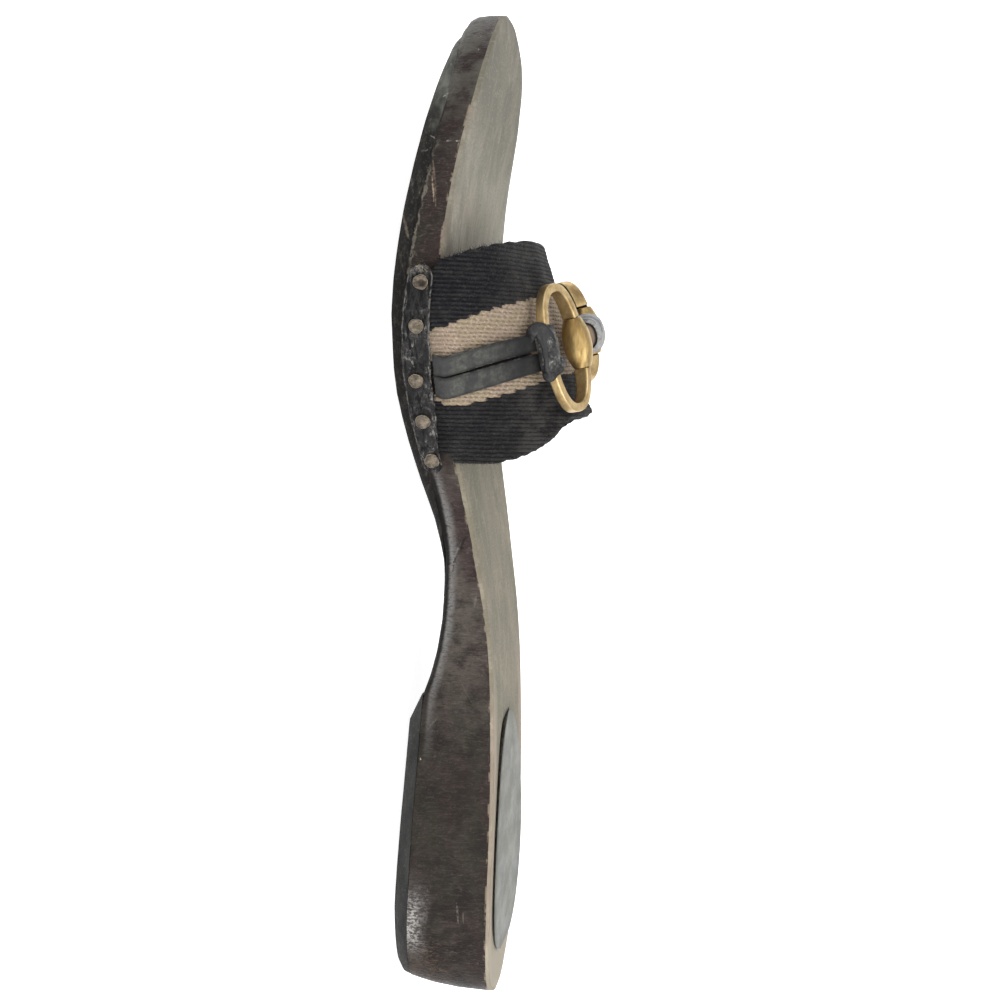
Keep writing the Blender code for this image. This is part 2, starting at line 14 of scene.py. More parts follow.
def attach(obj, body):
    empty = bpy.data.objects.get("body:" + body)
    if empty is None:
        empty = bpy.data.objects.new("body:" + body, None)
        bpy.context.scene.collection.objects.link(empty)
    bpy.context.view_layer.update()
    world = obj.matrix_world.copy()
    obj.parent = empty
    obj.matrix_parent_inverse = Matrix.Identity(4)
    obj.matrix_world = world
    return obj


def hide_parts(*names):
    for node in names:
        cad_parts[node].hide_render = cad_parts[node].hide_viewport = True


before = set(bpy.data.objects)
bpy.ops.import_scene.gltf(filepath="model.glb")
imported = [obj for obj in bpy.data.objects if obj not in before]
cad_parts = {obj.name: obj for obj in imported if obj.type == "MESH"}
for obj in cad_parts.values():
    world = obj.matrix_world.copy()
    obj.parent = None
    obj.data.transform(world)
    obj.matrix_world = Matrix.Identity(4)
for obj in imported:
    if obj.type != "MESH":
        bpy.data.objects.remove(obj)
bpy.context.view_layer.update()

MM = 0.001
TABLE_ORIGIN = np.array((1.0975, 125.2, 0))  # the frame's origin in the tables
INNER, OUTER = -1, 1
GAP = 0.3

# ---- sole sizes
LENGTH = 250.4
SOLE_PLAN = {
    "y": (0, 4, 12, 24, 40, 65, 95, 115, 145, 170, 190, 210, 230, 240, 246.4, 250.4),
    "inner": (-4, -17.8, -23.8, -27.2, -27.8, -24.9, -21.9, -24.2, -33.5, -43,
              -46.8, -43.3, -37.1, -31.2, -22.8, -8),
    "outer": (-2, 10.5, 19.2, 25.8, 28.8, 30.2, 33.5, 37.9, 45.1, 48.2,
              47.1, 42, 33.6, 25.4, 11.5, -6),
    "footbed": (23, 23.1, 23.4, 23.8, 24.1, 23.7, 21.6, 18.4, 13.4, 11.8,
                12.6, 15, 18.9, 20.6, 21.3, 21.3),
}
WOOD_UNDERSIDE = {
    "y": (0, 12, 40, 71, 79.4, 84, 90, 98, 107, 115, 122, 129, 138, 147, 156,
          166, 176, 186, 200, 213, 226, 236, 244, 250.4),
    "z": (2.6, 3.1, 4.2, 5.5, 5.9, 7.3, 8.7, 9.9, 10.5, 10.8, 10.2, 9, 6.7, 4.5, 3.2,
          2.8, 3.1, 4.4, 6.7, 9.1, 11.9, 12.9, 12.9, 12.9),
}
WALL_LEVELS = {
    "depth": (0, 0.4, 0.7, 0.88, 1),
    "side": (0, 0.1, 0.25, 0.4, 0.6),
    "rear": (0, 0.4, 1.2, 2, 2.7),
    "nose": (0, 0, 0.2, 0.9, 2.6),
}
REAR_REACH, NOSE_REACH = 26, 34
HEEL_REACH, HEEL_SWELL = 0.8, 16  # how far the heel swells past its plan, and from where
UPPER_ARRIS, LOWER_ARRIS, WAIST_ARRIS = 0.12, 0.15, 2.2

LIFT_FRONT = 79
LIFT_TREAD = {"y": (0, 25, 40, 58, 72.5, 79), "z": (0, 0, 0.8, 1.7, 2.4, 5.3)}
LIFT_DRAW_IN = {"side": (0.5, 0.9, 2.5), "rear": (2.9, 3.6, 5.4), "depth": (0, 0.6, 1)}
FORE_START = 104
TREAD_GAP = 0.02
FORE_FEATHER = {"reach": 16, "thin": 0.06, "inset": 1.9, "inset_reach": 22}
FORE_TREAD = {
    "y": (112, 118, 124, 129, 134, 139, 144, 149, 155, 161, 174, 182, 191, 200,
          210, 220, 230, 237, 243, 250),
    "z": (10.2, 9.6, 8.4, 6.8, 5.2, 3.8, 2.5, 1.4, 0.4, 0, 0, 0.7, 1.9, 3.1,
          4.7, 6.7, 9, 10.7, 11.4, 11.6),
}
FORE_DRAW_IN = {"side": (0.62, 0.85, 1.8), "nose": (4.6, 4.7, 5), "depth": (0, 0.6, 1)}

# ---- footbed
INSOLE_INSET, INSOLE_EDGE, INSOLE_ROLL, INSOLE_SHEET = 0.12, 0.7, 9, 0.95
INSOLE_CROWN = {"y": (0, 85, 120, 250), "z": (-0.25, -0.2, 0.45, 0.45)}
PAD_REAR, PAD_FRONT, PAD_MIDDLE_X, PAD_HALF_WIDTH = 9.6, 71.6, 1.5, 24.4
PAD_WIDEST, PAD_THICKNESS, PAD_LIP = 0.40, 0.6, 0.25
# the dark core along the pad's inner edge, from its lifted front corner to the heel: a glue line,
# and painted shade in the gap under the pad's edge
PAD_CORE = {"share": (0.995, 0.96, 0.9, 0.82, 0.7, 0.5, 0.3, 0.16, 0.07),
            "thick": (0.3, 0.7, 0.6, 0.38, 0.26, 0.22, 0.2, 0.18, 0.14),
            "aside": (0, 0.5, 0.6, 0.3, 0.1, 0.05, 0.05, 0.05, 0)}

# ---- strap
WEB_THICKNESS, WEB_TAIL, WEB_START = 1.8, 7, 1.2
WEB_WIDTH, WEB_GIRTH, WEB_SHEET = 48, 118, 1.55
WEB_PROFILE = {
    "share": (0, 0.34, 0.73, 1),
    "inner_y": (187, 170, 151.5, 138.8),
    "outer_y": (184.9, 168.5, 149.5, 136),
    "crest_x": (-3.5, -3, -1.5, 0.5),
    "crest_y": (193.9, 179.9, 160.8, 151.4),
    "crest_z": (31.6, 36.2, 41.2, 44.9),
    "inner_fullness": (1.95, 1.75, 1.75, 1.95),
    "outer_fullness": (1.65, 1.34, 1.34, 1.60),
    "inner_sweep": (1, 1, 1.4, 3),
    "outer_sweep": (1, 1, 1, 1),
}
STRAP_FOLDS = (  # angle, share, reach of each, rise
    (1.22, 0.14, 0.1, 0.2, 0.4),
    (1, 0.1, 0.12, 0.22, -0.4),
    (0.72, 0.2, 0.2, 0.2, 0.25),
    (0.9, 0.88, 0.14, 0.16, -0.35),
    (1.16, 0.84, 0.12, 0.14, 0.3),
    (0.35, 0.85, 0.2, 0.1, 0.2),
)
RIB_PITCH, RIB_HEIGHT, YARN_TWIST = 1.03, 0.13, 1.2
# the pale band's two edges, as shares across the webbing, and their step at each rib
BAND_TOE_EDGE, BAND_HEEL_EDGE = (0.31 - 0.018, 0.31 - 0.013), (0.7 - 0.016, 0.7 - 0.021)
BAND_STEP = 0.7 * RIB_PITCH / 48.2

RAND_THICKNESS, RAND_EDGE, RAND_SHEET = 1.3, 6.5, 1
RAND_FACE = GAP + WEB_THICKNESS + GAP + RAND_THICKNESS  # out from the wood
RAND = {
    "y": (137.2, 143, 153, 165, 176, 185.6),
    "low": (7.3, 5.9, 4, 3.2, 3.9, 5.7),
    "high": (11.9, 11, 10.6, 10, 10.4, 11.2),
}
RAND_SHIFT = {INNER: 0, OUTER: -2.6}
TACK_PLACES = {"y": (182, 172.1, 159.6, 149.8, 140.1), "z": (8.3, 7, 6.4, 7.5, 9.3)}
TACK_HEAD = {"along": (0, 0, 0.3, 0.52, 0.62, 0.66, 0.66),
             "radius": (0.001, 1.72, 1.8, 1.68, 1.3, 0.7, 0.001)}

# ---- bit
BIT_CENTRE = np.array((0, 170.4, 41.6))
BIT_YAW, BIT_PITCH, BIT_ROLL = math.radians(7), math.radians(13.5), math.radians(2.1)
BARREL_SPREAD = 15.2
OUTER_RISE = 0.9  # the outer ring and barrel sit a little proud of the inner ones
BARREL_PROFILE = {
    "along": (-6.3, -5.2, -3.2, 0, 3.2, 5.2, 6.3),
    "radius": (2.2, 2.65, 3.35, 3.65, 3.35, 2.65, 2.2),
}
RING_DROOP = {INNER: math.radians(26.5), OUTER: math.radians(39)}
RING_SLIDE = {INNER: 0, OUTER: 0.1}
RING_LENGTH = {INNER: 30.2, OUTER: 25.9}
RING_WIDTH, RING_SQUARENESS, RING_BAR, RING_ARRIS = 14.4, 2.3, 2.2, 2 / 6.5
RING_DEPTH_THIN, RING_DEPTH_THICK, RING_SPLIT = 2.5, 4.1, 0.3
ROD_TURN, ROD_HALF_BAR, ROD_DEPTH_SHARE = 0.49, 0.92, 0.86
LINK_PROFILE = {
    "along": (-11, -6.6, -5.8, 5.8, 6.6, 11),
    "radius": (2.7, 2.7, 2, 2, 2.7, 2.7),
}
KEEPER_WIDTH = 11
KEEPER_OUTSIDE = {"half": (4.6, 4.4), "behind": -0.3, "over": 1.3}
KEEPER_BORE = {"half": (3.6, 3.4), "behind": -0.3, "over": 1.2}
KEEPER_WAIST = 2.35  # inside, the loop is packed down around the link
# the grid's rows run along the outside, turn in at one mouth, run back and close
KEEPER_WALK, KEEPER_TURN, KEEPER_CLOSE = ((0, 0.46, 0.54, 0.97, 1), (0, 1, 1, 0, 0)), 0.47, 0.99
HITCH_MIDDLE, HITCH_HALF_ANGLE = math.radians(177), math.radians(21.5)
HITCH_SOLE_WALL = 0.6
FAR_IN = 9  # a distance from any edge at which none of its wear is left
CAP_ARRIS, CAP_SHARE = 0.12, 0.08  # the share of a turned piece's rows on each flat end
# the thong's turn over the ring, from the strap over the bar and back
WRAP_TURN = {
    "out": (2.7, 3, 2.3, 1.4, 1, 1, 1.6, 2.3),
    "toe": (2.6, 4.9, 5.2, 2.6, -0.6, -3.8, -6.2, -6),
    "up": (-2.6, -1.2, 0.6, 1.3, 1.3, 1, 0, -1.7),
    "half_width": (1.4, 1.7, 1.9, 2.2, 2.3, 2.2, 1.8, 1.3),
    "half_height": (0.7, 1, 0.95, 0.75, 0.7, 0.85, 0.9, 0.6),
}
WRAP_END = {
    "out": (-0.6, -2, -3.2),
    "toe": (-3.4, -3.9, -4.3),
    "up": (2.3, 2.5, 2.3),
    "half_width": (1.4, 1.3, 1),
    "half_height": (0.5, 0.5, 0.35),
}
THONGS = {
    "name": ("toe", "heel"),
    "start": (0.48, 0.595),
    "end": (0.515, 0.61),
    "width": (5.6, 5.8),
    "end_width": (4.5, 4.7),
}
THONG_THICKNESS, THONG_SHEET, THONG_FOOT, THONG_END_LIFT = 1.2, 0.8, 0.36, 1.2
THONG_END_ANGLE = math.radians(48.5)

# ---- wear
# pale strokes on the inner side: from y, z to y, z, width, strength and shade
STROKES = (
    (210.4, 9.5, 199, 10.9, 0.62, 0.5, (112, 97, 84)),
    (206.6, 9.5, 200.6, 10.3, 0.3, 0.5, (168, 150, 130)),
    (238.4, 18.2, 238, 18.7, 0.4, 0.5, (170, 166, 158)),
    (242, 18.1, 241.7, 18.5, 0.3, 0.4, (150, 146, 138)),
    (215.3, 14.6, 215.2, 15.4, 0.34, 0.55, (176, 168, 160)),
    (214.9, 12.4, 215.3, 13.8, 0.3, 0.45, (150, 142, 134)),
    (205.2, 13, 203.6, 13.4, 0.5, 0.3, (92, 86, 82)),
    (63.1, 5.8, 63, 6.1, 0.16, 0.6, (184, 178, 168)),
    (27.6, 16.4, 22.2, 16.8, 0.5, 0.45, (106, 98, 92)),
    (25.8, 18, 22.4, 18.1, 0.34, 0.4, (96, 88, 82)),
    (73.4, 9.8, 70.2, 7.2, 0.3, 0.3, (104, 98, 92)),
    (70.8, 17.2, 69.6, 19.8, 0.3, 0.25, (96, 90, 86)),
    (83.4, 15, 77.6, 18.6, 0.24, 0.25, (92, 88, 84)),
    (124.2, 16.4, 121.4, 18.2, 0.26, 0.35, (112, 106, 98)),
    (118.2, 15.2, 113.8, 13.1, 0.3, 0.35, (118, 112, 106)),
    (105.5, 19, 101.5, 18.5, 0.6, 0.35, (104, 98, 94)),
)
# dark cracks in the stain by the arch: from y, z to y, z, width and strength
CRACKS = (
    (120.4, 18, 119.2, 16, 0.4, 0.8),
    (119.4, 16.2, 117, 15.4, 0.44, 0.9),
    (117.2, 15.6, 114.8, 14.2, 0.46, 0.9),
    (115, 14.4, 112.4, 13, 0.4, 0.85),
    (112.8, 13.3, 110, 12.9, 0.3, 0.6),
    (114.4, 13.4, 112.2, 14.2, 0.26, 0.5),
    (119.6, 16.4, 117.2, 17.8, 0.24, 0.4),
    (110.8, 12.7, 107, 12.2, 0.24, 0.4),
)
RUBBER_STROKES = (
    (226, 10.8, 227.8, 13, 0.3, 0.6, (150, 146, 138)),
    (212.6, 6.4, 213.4, 8.8, 0.34, 0.35, (120, 116, 108)),
    (216.4, 8.4, 215.5, 10.2, 0.32, 0.4, (132, 128, 120)),
    (206.4, 4.3, 202.2, 5.3, 0.5, 0.35, (96, 90, 84)),
    (197.2, 2.9, 191.4, 4.7, 0.7, 0.4, (116, 106, 88)),
    (189.4, 2.1, 183.6, 3.5, 0.5, 0.35, (78, 72, 64)),
    (234.8, 11.4, 233.4, 12.6, 0.4, 0.4, (112, 112, 104)),
)
# troughs pressed in the inner wall: y, z, half length, half height, depth
GOUGES = (
    (204.6, 10.2, 6, 0.9, 0.5),
    (117, 15, 2.4, 0.7, 0.3),
    (112.6, 13.2, 3, 0.8, 0.25),
    (231.6, 19, 4.2, 1, 0.5),
    (112, 18.4, 4.5, 1.2, 0.45),
    (25, 22.6, 9, 1, 0.4),
    (128.5, 15.4, 2, 1, 0.35),
)


# ---- shared shapes
def smooth(at, stations, values):
    """A smooth curve through the rows of a table, by Hermite pieces."""
    at, stations, values = (np.asarray(a, float) for a in (at, stations, values))
    slope = np.gradient(values, stations)
    k = np.clip(np.searchsorted(stations, at) - 1, 0, len(stations) - 2)
    span = stations[k + 1] - stations[k]
    t = np.clip((at - stations[k]) / span, 0, 1)
    return (
        (2 * t**3 - 3 * t**2 + 1) * values[k]
        + (t**3 - 2 * t**2 + t) * span * slope[k]
        + (3 * t**2 - 2 * t**3) * values[k + 1]
        + (t**3 - t**2) * span * slope[k + 1]
    )


def blend(start, end, share):
    return start + (end - start) * share


def turn_of(y):
    return np.arccos(1 - 2 * np.clip(np.asarray(y, float) / LENGTH, 0, 1))


def y_of(turn):
    return LENGTH * (1 - np.cos(turn)) / 2


def y_between(start, end, share):
    """From start to end, with the rows closer together at the sole's two ends."""
    return y_of(blend(turn_of(start), turn_of(end), share))


PLAN_TURNS = turn_of(SOLE_PLAN["y"])


def edge_x(y, side):
    inner = smooth(turn_of(y), PLAN_TURNS, SOLE_PLAN["inner"])
    outer = smooth(turn_of(y), PLAN_TURNS, SOLE_PLAN["outer"])
    return np.where(np.asarray(side) < 0, inner, outer)


def middle_x(y):
    return (edge_x(y, INNER) + edge_x(y, OUTER)) / 2


def rim_of(x, y):
    """How far a point lies inside the nearer side of the sole."""
    return np.minimum(x - edge_x(y, INNER), edge_x(y, OUTER) - x)


def footbed_z(y):
    return smooth(y, SOLE_PLAN["y"], SOLE_PLAN["footbed"])


def underside_z(y):
    return np.interp(y, WOOD_UNDERSIDE["y"], WOOD_UNDERSIDE["z"])


def undercut(y, rear, nose):
    """y with the rows by the two ends drawn in."""
    near_rear = np.maximum(0, 1 - y / REAR_REACH) ** 2
    near_nose = np.maximum(0, 1 - (LENGTH - y) / NOSE_REACH) ** 2
    return y + rear * near_rear - nose * near_nose


def drawn_in(y, side, inset):
    """x on one side, inset from the plan by at most a share of the half width."""
    middle = middle_x(y)
    half = np.abs(edge_x(y, side) - middle)
    return middle + side * (half - np.minimum(inset, half * 0.4))


def wall_point(y, side, out):
    """x and y of a point that stands out square from the wall."""
    slope = (edge_x(y + 0.5, side) - edge_x(y - 0.5, side)) * side
    length = np.hypot(1, slope)
    return edge_x(y, side) + side * out / length, y - out * slope / length


def unit(vectors):
    return vectors / np.linalg.norm(vectors, axis=-1, keepdims=True)


def fade(value, start, end):
    """0 before start and 1 after end, with a soft ramp between."""
    t = np.clip((np.asarray(value, float) - start) / (end - start), 0, 1)
    return t * t * (3 - 2 * t)


def hill(*reaches):
    """1 at the middle of a soft hill, from pairs of a distance and the hill's reach."""
    return np.exp(-sum((away / reach) ** 2 for away, reach in reaches))


def fall(inward, reach):
    """1 at an edge and 0 from a reach inward, along a quarter circle."""
    return 1 - np.sqrt(1 - (1 - np.clip(inward / reach, 0, 1)) ** 2)


def squared(turn, power, up_power=None):
    """The two coordinates of a circle, squared off by a power below 1."""
    across, up = np.cos(turn), np.sin(turn)
    return (np.copysign(np.abs(across) ** power, across),
            np.copysign(np.abs(up) ** (up_power or power), up))


def carried(point, *moves):
    """A point carried along each direction by its distance."""
    for direction, distance in moves:
        point = point + direction * distance[:, None]
    return point


def ripple(a, b, seed):
    """Soft irregular relief over two coordinates, about -1 to 1, one wave to a unit."""
    rng = np.random.default_rng(seed)
    total, size, weight = np.zeros(np.shape(a)), 1, 1
    for _ in range(3):
        for _ in range(4):
            heading, phase = rng.uniform(0, math.tau, 2)
            wave = math.tau * size * rng.uniform(0.7, 1.3)
            along = a * math.cos(heading) + b * math.sin(heading)
            total += weight * np.sin(wave * along + phase)
        size, weight = size * 2.1, weight * 0.5
    return total / 4


# ---- making pieces
def only(piece):
    bpy.ops.object.select_all(action="DESELECT")
    piece.select_set(True)
    bpy.context.view_layer.objects.active = piece


def in_edit_mode(piece, *steps):
    only(piece)
    bpy.ops.object.mode_set(mode="EDIT")
    bpy.ops.mesh.select_mode(type="VERT")
    for step in steps:
        step()
    bpy.ops.object.mode_set(mode="OBJECT")


def added(name, data):
    thing = bpy.data.objects.new(name, data)
    bpy.context.scene.collection.objects.link(thing)
    return thing


def select_all():
    bpy.ops.mesh.select_all(action="SELECT")


def weld():
    select_all()
    bpy.ops.mesh.remove_doubles(threshold=2e-6)


def close_ends():
    bpy.ops.mesh.select_all(action="DESELECT")
    bpy.ops.mesh.select_non_manifold(extend=False, use_wire=False)
    bpy.ops.mesh.fill_holes(sides=0)


def face_out():
    select_all()
    bpy.ops.mesh.normals_make_consistent(inside=False)


def laid_grid(name, columns, rows, place, marks=None):
    """A grid with its own UV map, its points laid out in mm by place(u, v)."""
    bpy.ops.object.select_all(action="DESELECT")
    bpy.ops.mesh.primitive_grid_add(x_subdivisions=columns, y_subdivisions=rows, size=1)
    piece = bpy.context.object
    piece.name = piece.data.name = name
    flat = np.empty(len(piece.data.vertices) * 3)
    piece.data.vertices.foreach_get("co", flat)
    u, v = flat.reshape(-1, 3)[:, 0] + 0.5, flat.reshape(-1, 3)[:, 1] + 0.5
    points = place(u, v)
    points[:, 1] -= HEEL_REACH * np.maximum(0, 1 - points[:, 1] / HEEL_SWELL) ** 2
    for key, values in (marks(points, u, v) if marks else {}).items():
        layer = piece.data.attributes.new(key, "FLOAT", "POINT")
        layer.data.foreach_set("value", np.asarray(values, np.float32))
    piece.data.vertices.foreach_set("co", ((points - TABLE_ORIGIN) * MM).ravel())
    piece.data.update()
    return piece


def solid_grid(name, columns, rows, place, marks=None):
    """A laid grid whose sides u = 0 and u = 1 meet, closed at both ends."""
    piece = laid_grid(name, columns, rows, place, marks)
    in_edit_mode(piece, weld, close_ends, face_out)
    return piece


def thickened(piece, thickness, toward):
    """Gives a laid grid its thickness, behind the face that looks toward a direction."""
    total = np.empty(len(piece.data.polygons) * 3)
    piece.data.polygons.foreach_get("normal", total)
    if total.reshape(-1, 3).sum(0) @ np.array(toward, float) < 0:
        in_edit_mode(piece, select_all, bpy.ops.mesh.flip_normals)
    wall = piece.modifiers.new("wall", "SOLIDIFY")
    wall.thickness, wall.offset = thickness * MM, -1
    only(piece)
    bpy.ops.object.modifier_apply(modifier=wall.name)


def set_off(piece, finish, slot, *nodes, sharp=60):
    """Shades a piece, gives it its finish, and lets it stand for its solids."""
    only(piece)
    bpy.ops.object.shade_smooth_by_angle(angle=math.radians(sharp))
    piece.data.materials.clear()
    piece.data.materials.append(FINISH[finish])
    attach(piece, "root")
    if nodes:
        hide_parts(*nodes)


# ---- finishes
def tone(chart):
    """A colour from the three 0 to 255 values of a paint chart."""
    return (*((c / 255 / 12.92) if c <= 10.3 else ((c / 255 + 0.055) / 1.055) ** 2.4
              for c in chart), 1)


class Finish:
    """One material, mixed node by node. Sizes are in millimetres.

    A share may be given as (value, start, end), or with (low, high) after it,
    for a soft ramp. A colour may be given as three values of a paint chart.
    """

    def __init__(self, name, gloss=0.5, **sockets):
        self.base = None
        self.material = bpy.data.materials.new(name)
        self.material.use_nodes = True
        self.tree = self.material.node_tree
        self.shader = self.tree.nodes["Principled BSDF"]
        self.shader.inputs["Specular IOR Level"].default_value = gloss
        for socket, value in sockets.items():
            self.shader.inputs[socket.replace("_", " ")].default_value = value
        place = self.node("TexCoord").outputs["Object"]
        scaled = self.vector("MULTIPLY", place, (1000, 1000, 1000))
        self.place = self.vector("ADD", scaled, tuple(TABLE_ORIGIN))
        self.x, self.y, self.z = self.parts(self.place)

    def node(self, kind, **settings):
        made = self.tree.nodes.new("ShaderNode" + kind)
        for key, value in settings.items():
            setattr(made, key, value)
        return made

    def feed(self, sockets, *values):
        for socket, value in zip(sockets, values):
            if isinstance(value, bpy.types.NodeSocket):
                self.tree.links.new(value, socket)
            else:
                socket.default_value = value

    def fed(self, made, *values, output=0):
        """A node with its sockets fed in their order, and its output."""
        self.feed(made.inputs, *values)
        return made.outputs[output]

    def math(self, operation, *values, clamp=False):
        return self.fed(self.node("Math", operation=operation, use_clamp=clamp), *values)

    def vector(self, operation, *values, output="Vector"):
        return self.fed(self.node("VectorMath", operation=operation), *values, output=output)

    def parts(self, vector):
        made = self.node("SeparateXYZ")
        self.feed(made.inputs, vector)
        return made.outputs

    def join(self, x, y, z):
        return self.fed(self.node("CombineXYZ"), x, y, z)

    def attribute(self, name):
        return self.node("Attribute", attribute_name=name).outputs["Fac"]

    def uv(self):
        return self.parts(self.node("UVMap", uv_map="UVMap").outputs[0])

    def in_blobs(self, kind, size, output, **values):
        """A texture with blobs of a size in mm, or of a size along each axis."""
        sizes = size if isinstance(size, tuple) else (size, size, size)
        made = self.node(kind)
        made.inputs["Scale"].default_value = 1
        for key, value in values.items():
            made.inputs[key].default_value = value
        self.feed([made.inputs["Vector"]], self.vector("DIVIDE", self.place, sizes))
        return made.outputs[output]

    def noise(self, size, detail=2, roughness=0.5, distortion=0):
        return self.in_blobs("TexNoise", size, "Fac", Detail=detail, Roughness=roughness,
                             Distortion=distortion)

    def cells(self, size):
        return self.in_blobs("TexVoronoi", size, "Distance")

    def ramp(self, value, start, end, low=0, high=1):
        made = self.node("MapRange", interpolation_type="SMOOTHSTEP")
        keys = ("Value", "From Min", "From Max", "To Min", "To Max")
        self.feed([made.inputs[key] for key in keys], value, start, end, low, high)
        return made.outputs[0]

    def share(self, value):
        return self.ramp(*value) if isinstance(value, tuple) else value

    def mix(self, share, *colours):
        made = self.node("Mix", data_type="RGBA")
        colours = (tone(c) if isinstance(c, tuple) else c for c in colours)
        self.feed([made.inputs[k] for k in (0, 6, 7)], self.share(share), *colours)
        return made.outputs[2]

    def coat(self, colour, *shares):
        """Lays a colour over the base, as strongly as the product of the shares."""
        self.base = self.mix(self.product(*shares), self.base, colour)

    def product(self, *shares):
        first, *others = (self.share(value) for value in shares)
        for value in others:
            first = self.math("MULTIPLY", first, value)
        return first

    def total(self, first, *others):
        for value in others:
            first = self.math("ADD", first, value)
        return first

    def less(self, value, taken):
        return self.math("SUBTRACT", value, taken)

    def apart(self, value, other):
        return self.math("ABSOLUTE", self.less(value, other))

    def wander(self, reach, size, detail=2):
        """Noise about zero, half a reach to either side."""
        return self.product(self.less(self.noise(size, detail), 0.5), reach)

    def stroke(self, start, end, width, ragged):
        """1 along a short mark on the inner wall, from (y, z) to (y, z)."""
        flat = self.join(0, self.y, self.z)
        flat = self.vector("ADD", flat, self.join(0, self.wander(ragged, 0.9), 0))
        a = Vector((0, *start))
        along = Vector((0, *end)) - a
        from_start = self.vector("SUBTRACT", flat, tuple(a))
        ahead = self.vector("DOT_PRODUCT", from_start, tuple(along / along.length_squared),
                            output="Value")
        share = self.math("ADD", ahead, 0, clamp=True)
        nearest = self.vector("MULTIPLY", self.join(share, share, share), tuple(along))
        away = self.vector("DISTANCE", from_start, nearest, output="Value")
        middle = self.math("SINE", self.product(share, math.pi))
        tapered = self.math("MULTIPLY_ADD", middle, width * 0.7, width * 0.3)
        return self.product((self.math("DIVIDE", away, tapered), 1, 0.1),
                            (self.noise(0.8, 3, 0.7), 0.34, 0.6), (self.x, 0, -4))

    def strokes(self, table, ragged):
        for y0, z0, y1, z1, width, strength, shade in table:
            self.coat(shade, self.stroke((y0, z0), (y1, z1), width, ragged), strength)

    def done(self, rough, *relief):
        """The material, with its roughness and bumps: a height from 0 to 1 and a depth in mm."""
        inputs = self.shader.inputs
        self.feed([inputs["Base Color"], inputs["Roughness"]], self.base, self.share(rough))
        normal = None
        for height, depth in relief:
            bump = self.node("Bump")
            bump.inputs["Strength"].default_value = 1
            bump.inputs["Distance"].default_value = depth * MM
            self.feed([bump.inputs["Height"]], height)
            if normal is not None:
                self.feed([bump.inputs["Normal"]], normal)
            normal = bump.outputs[0]
        if relief:
            self.feed([inputs["Normal"]], normal)
        return self.material


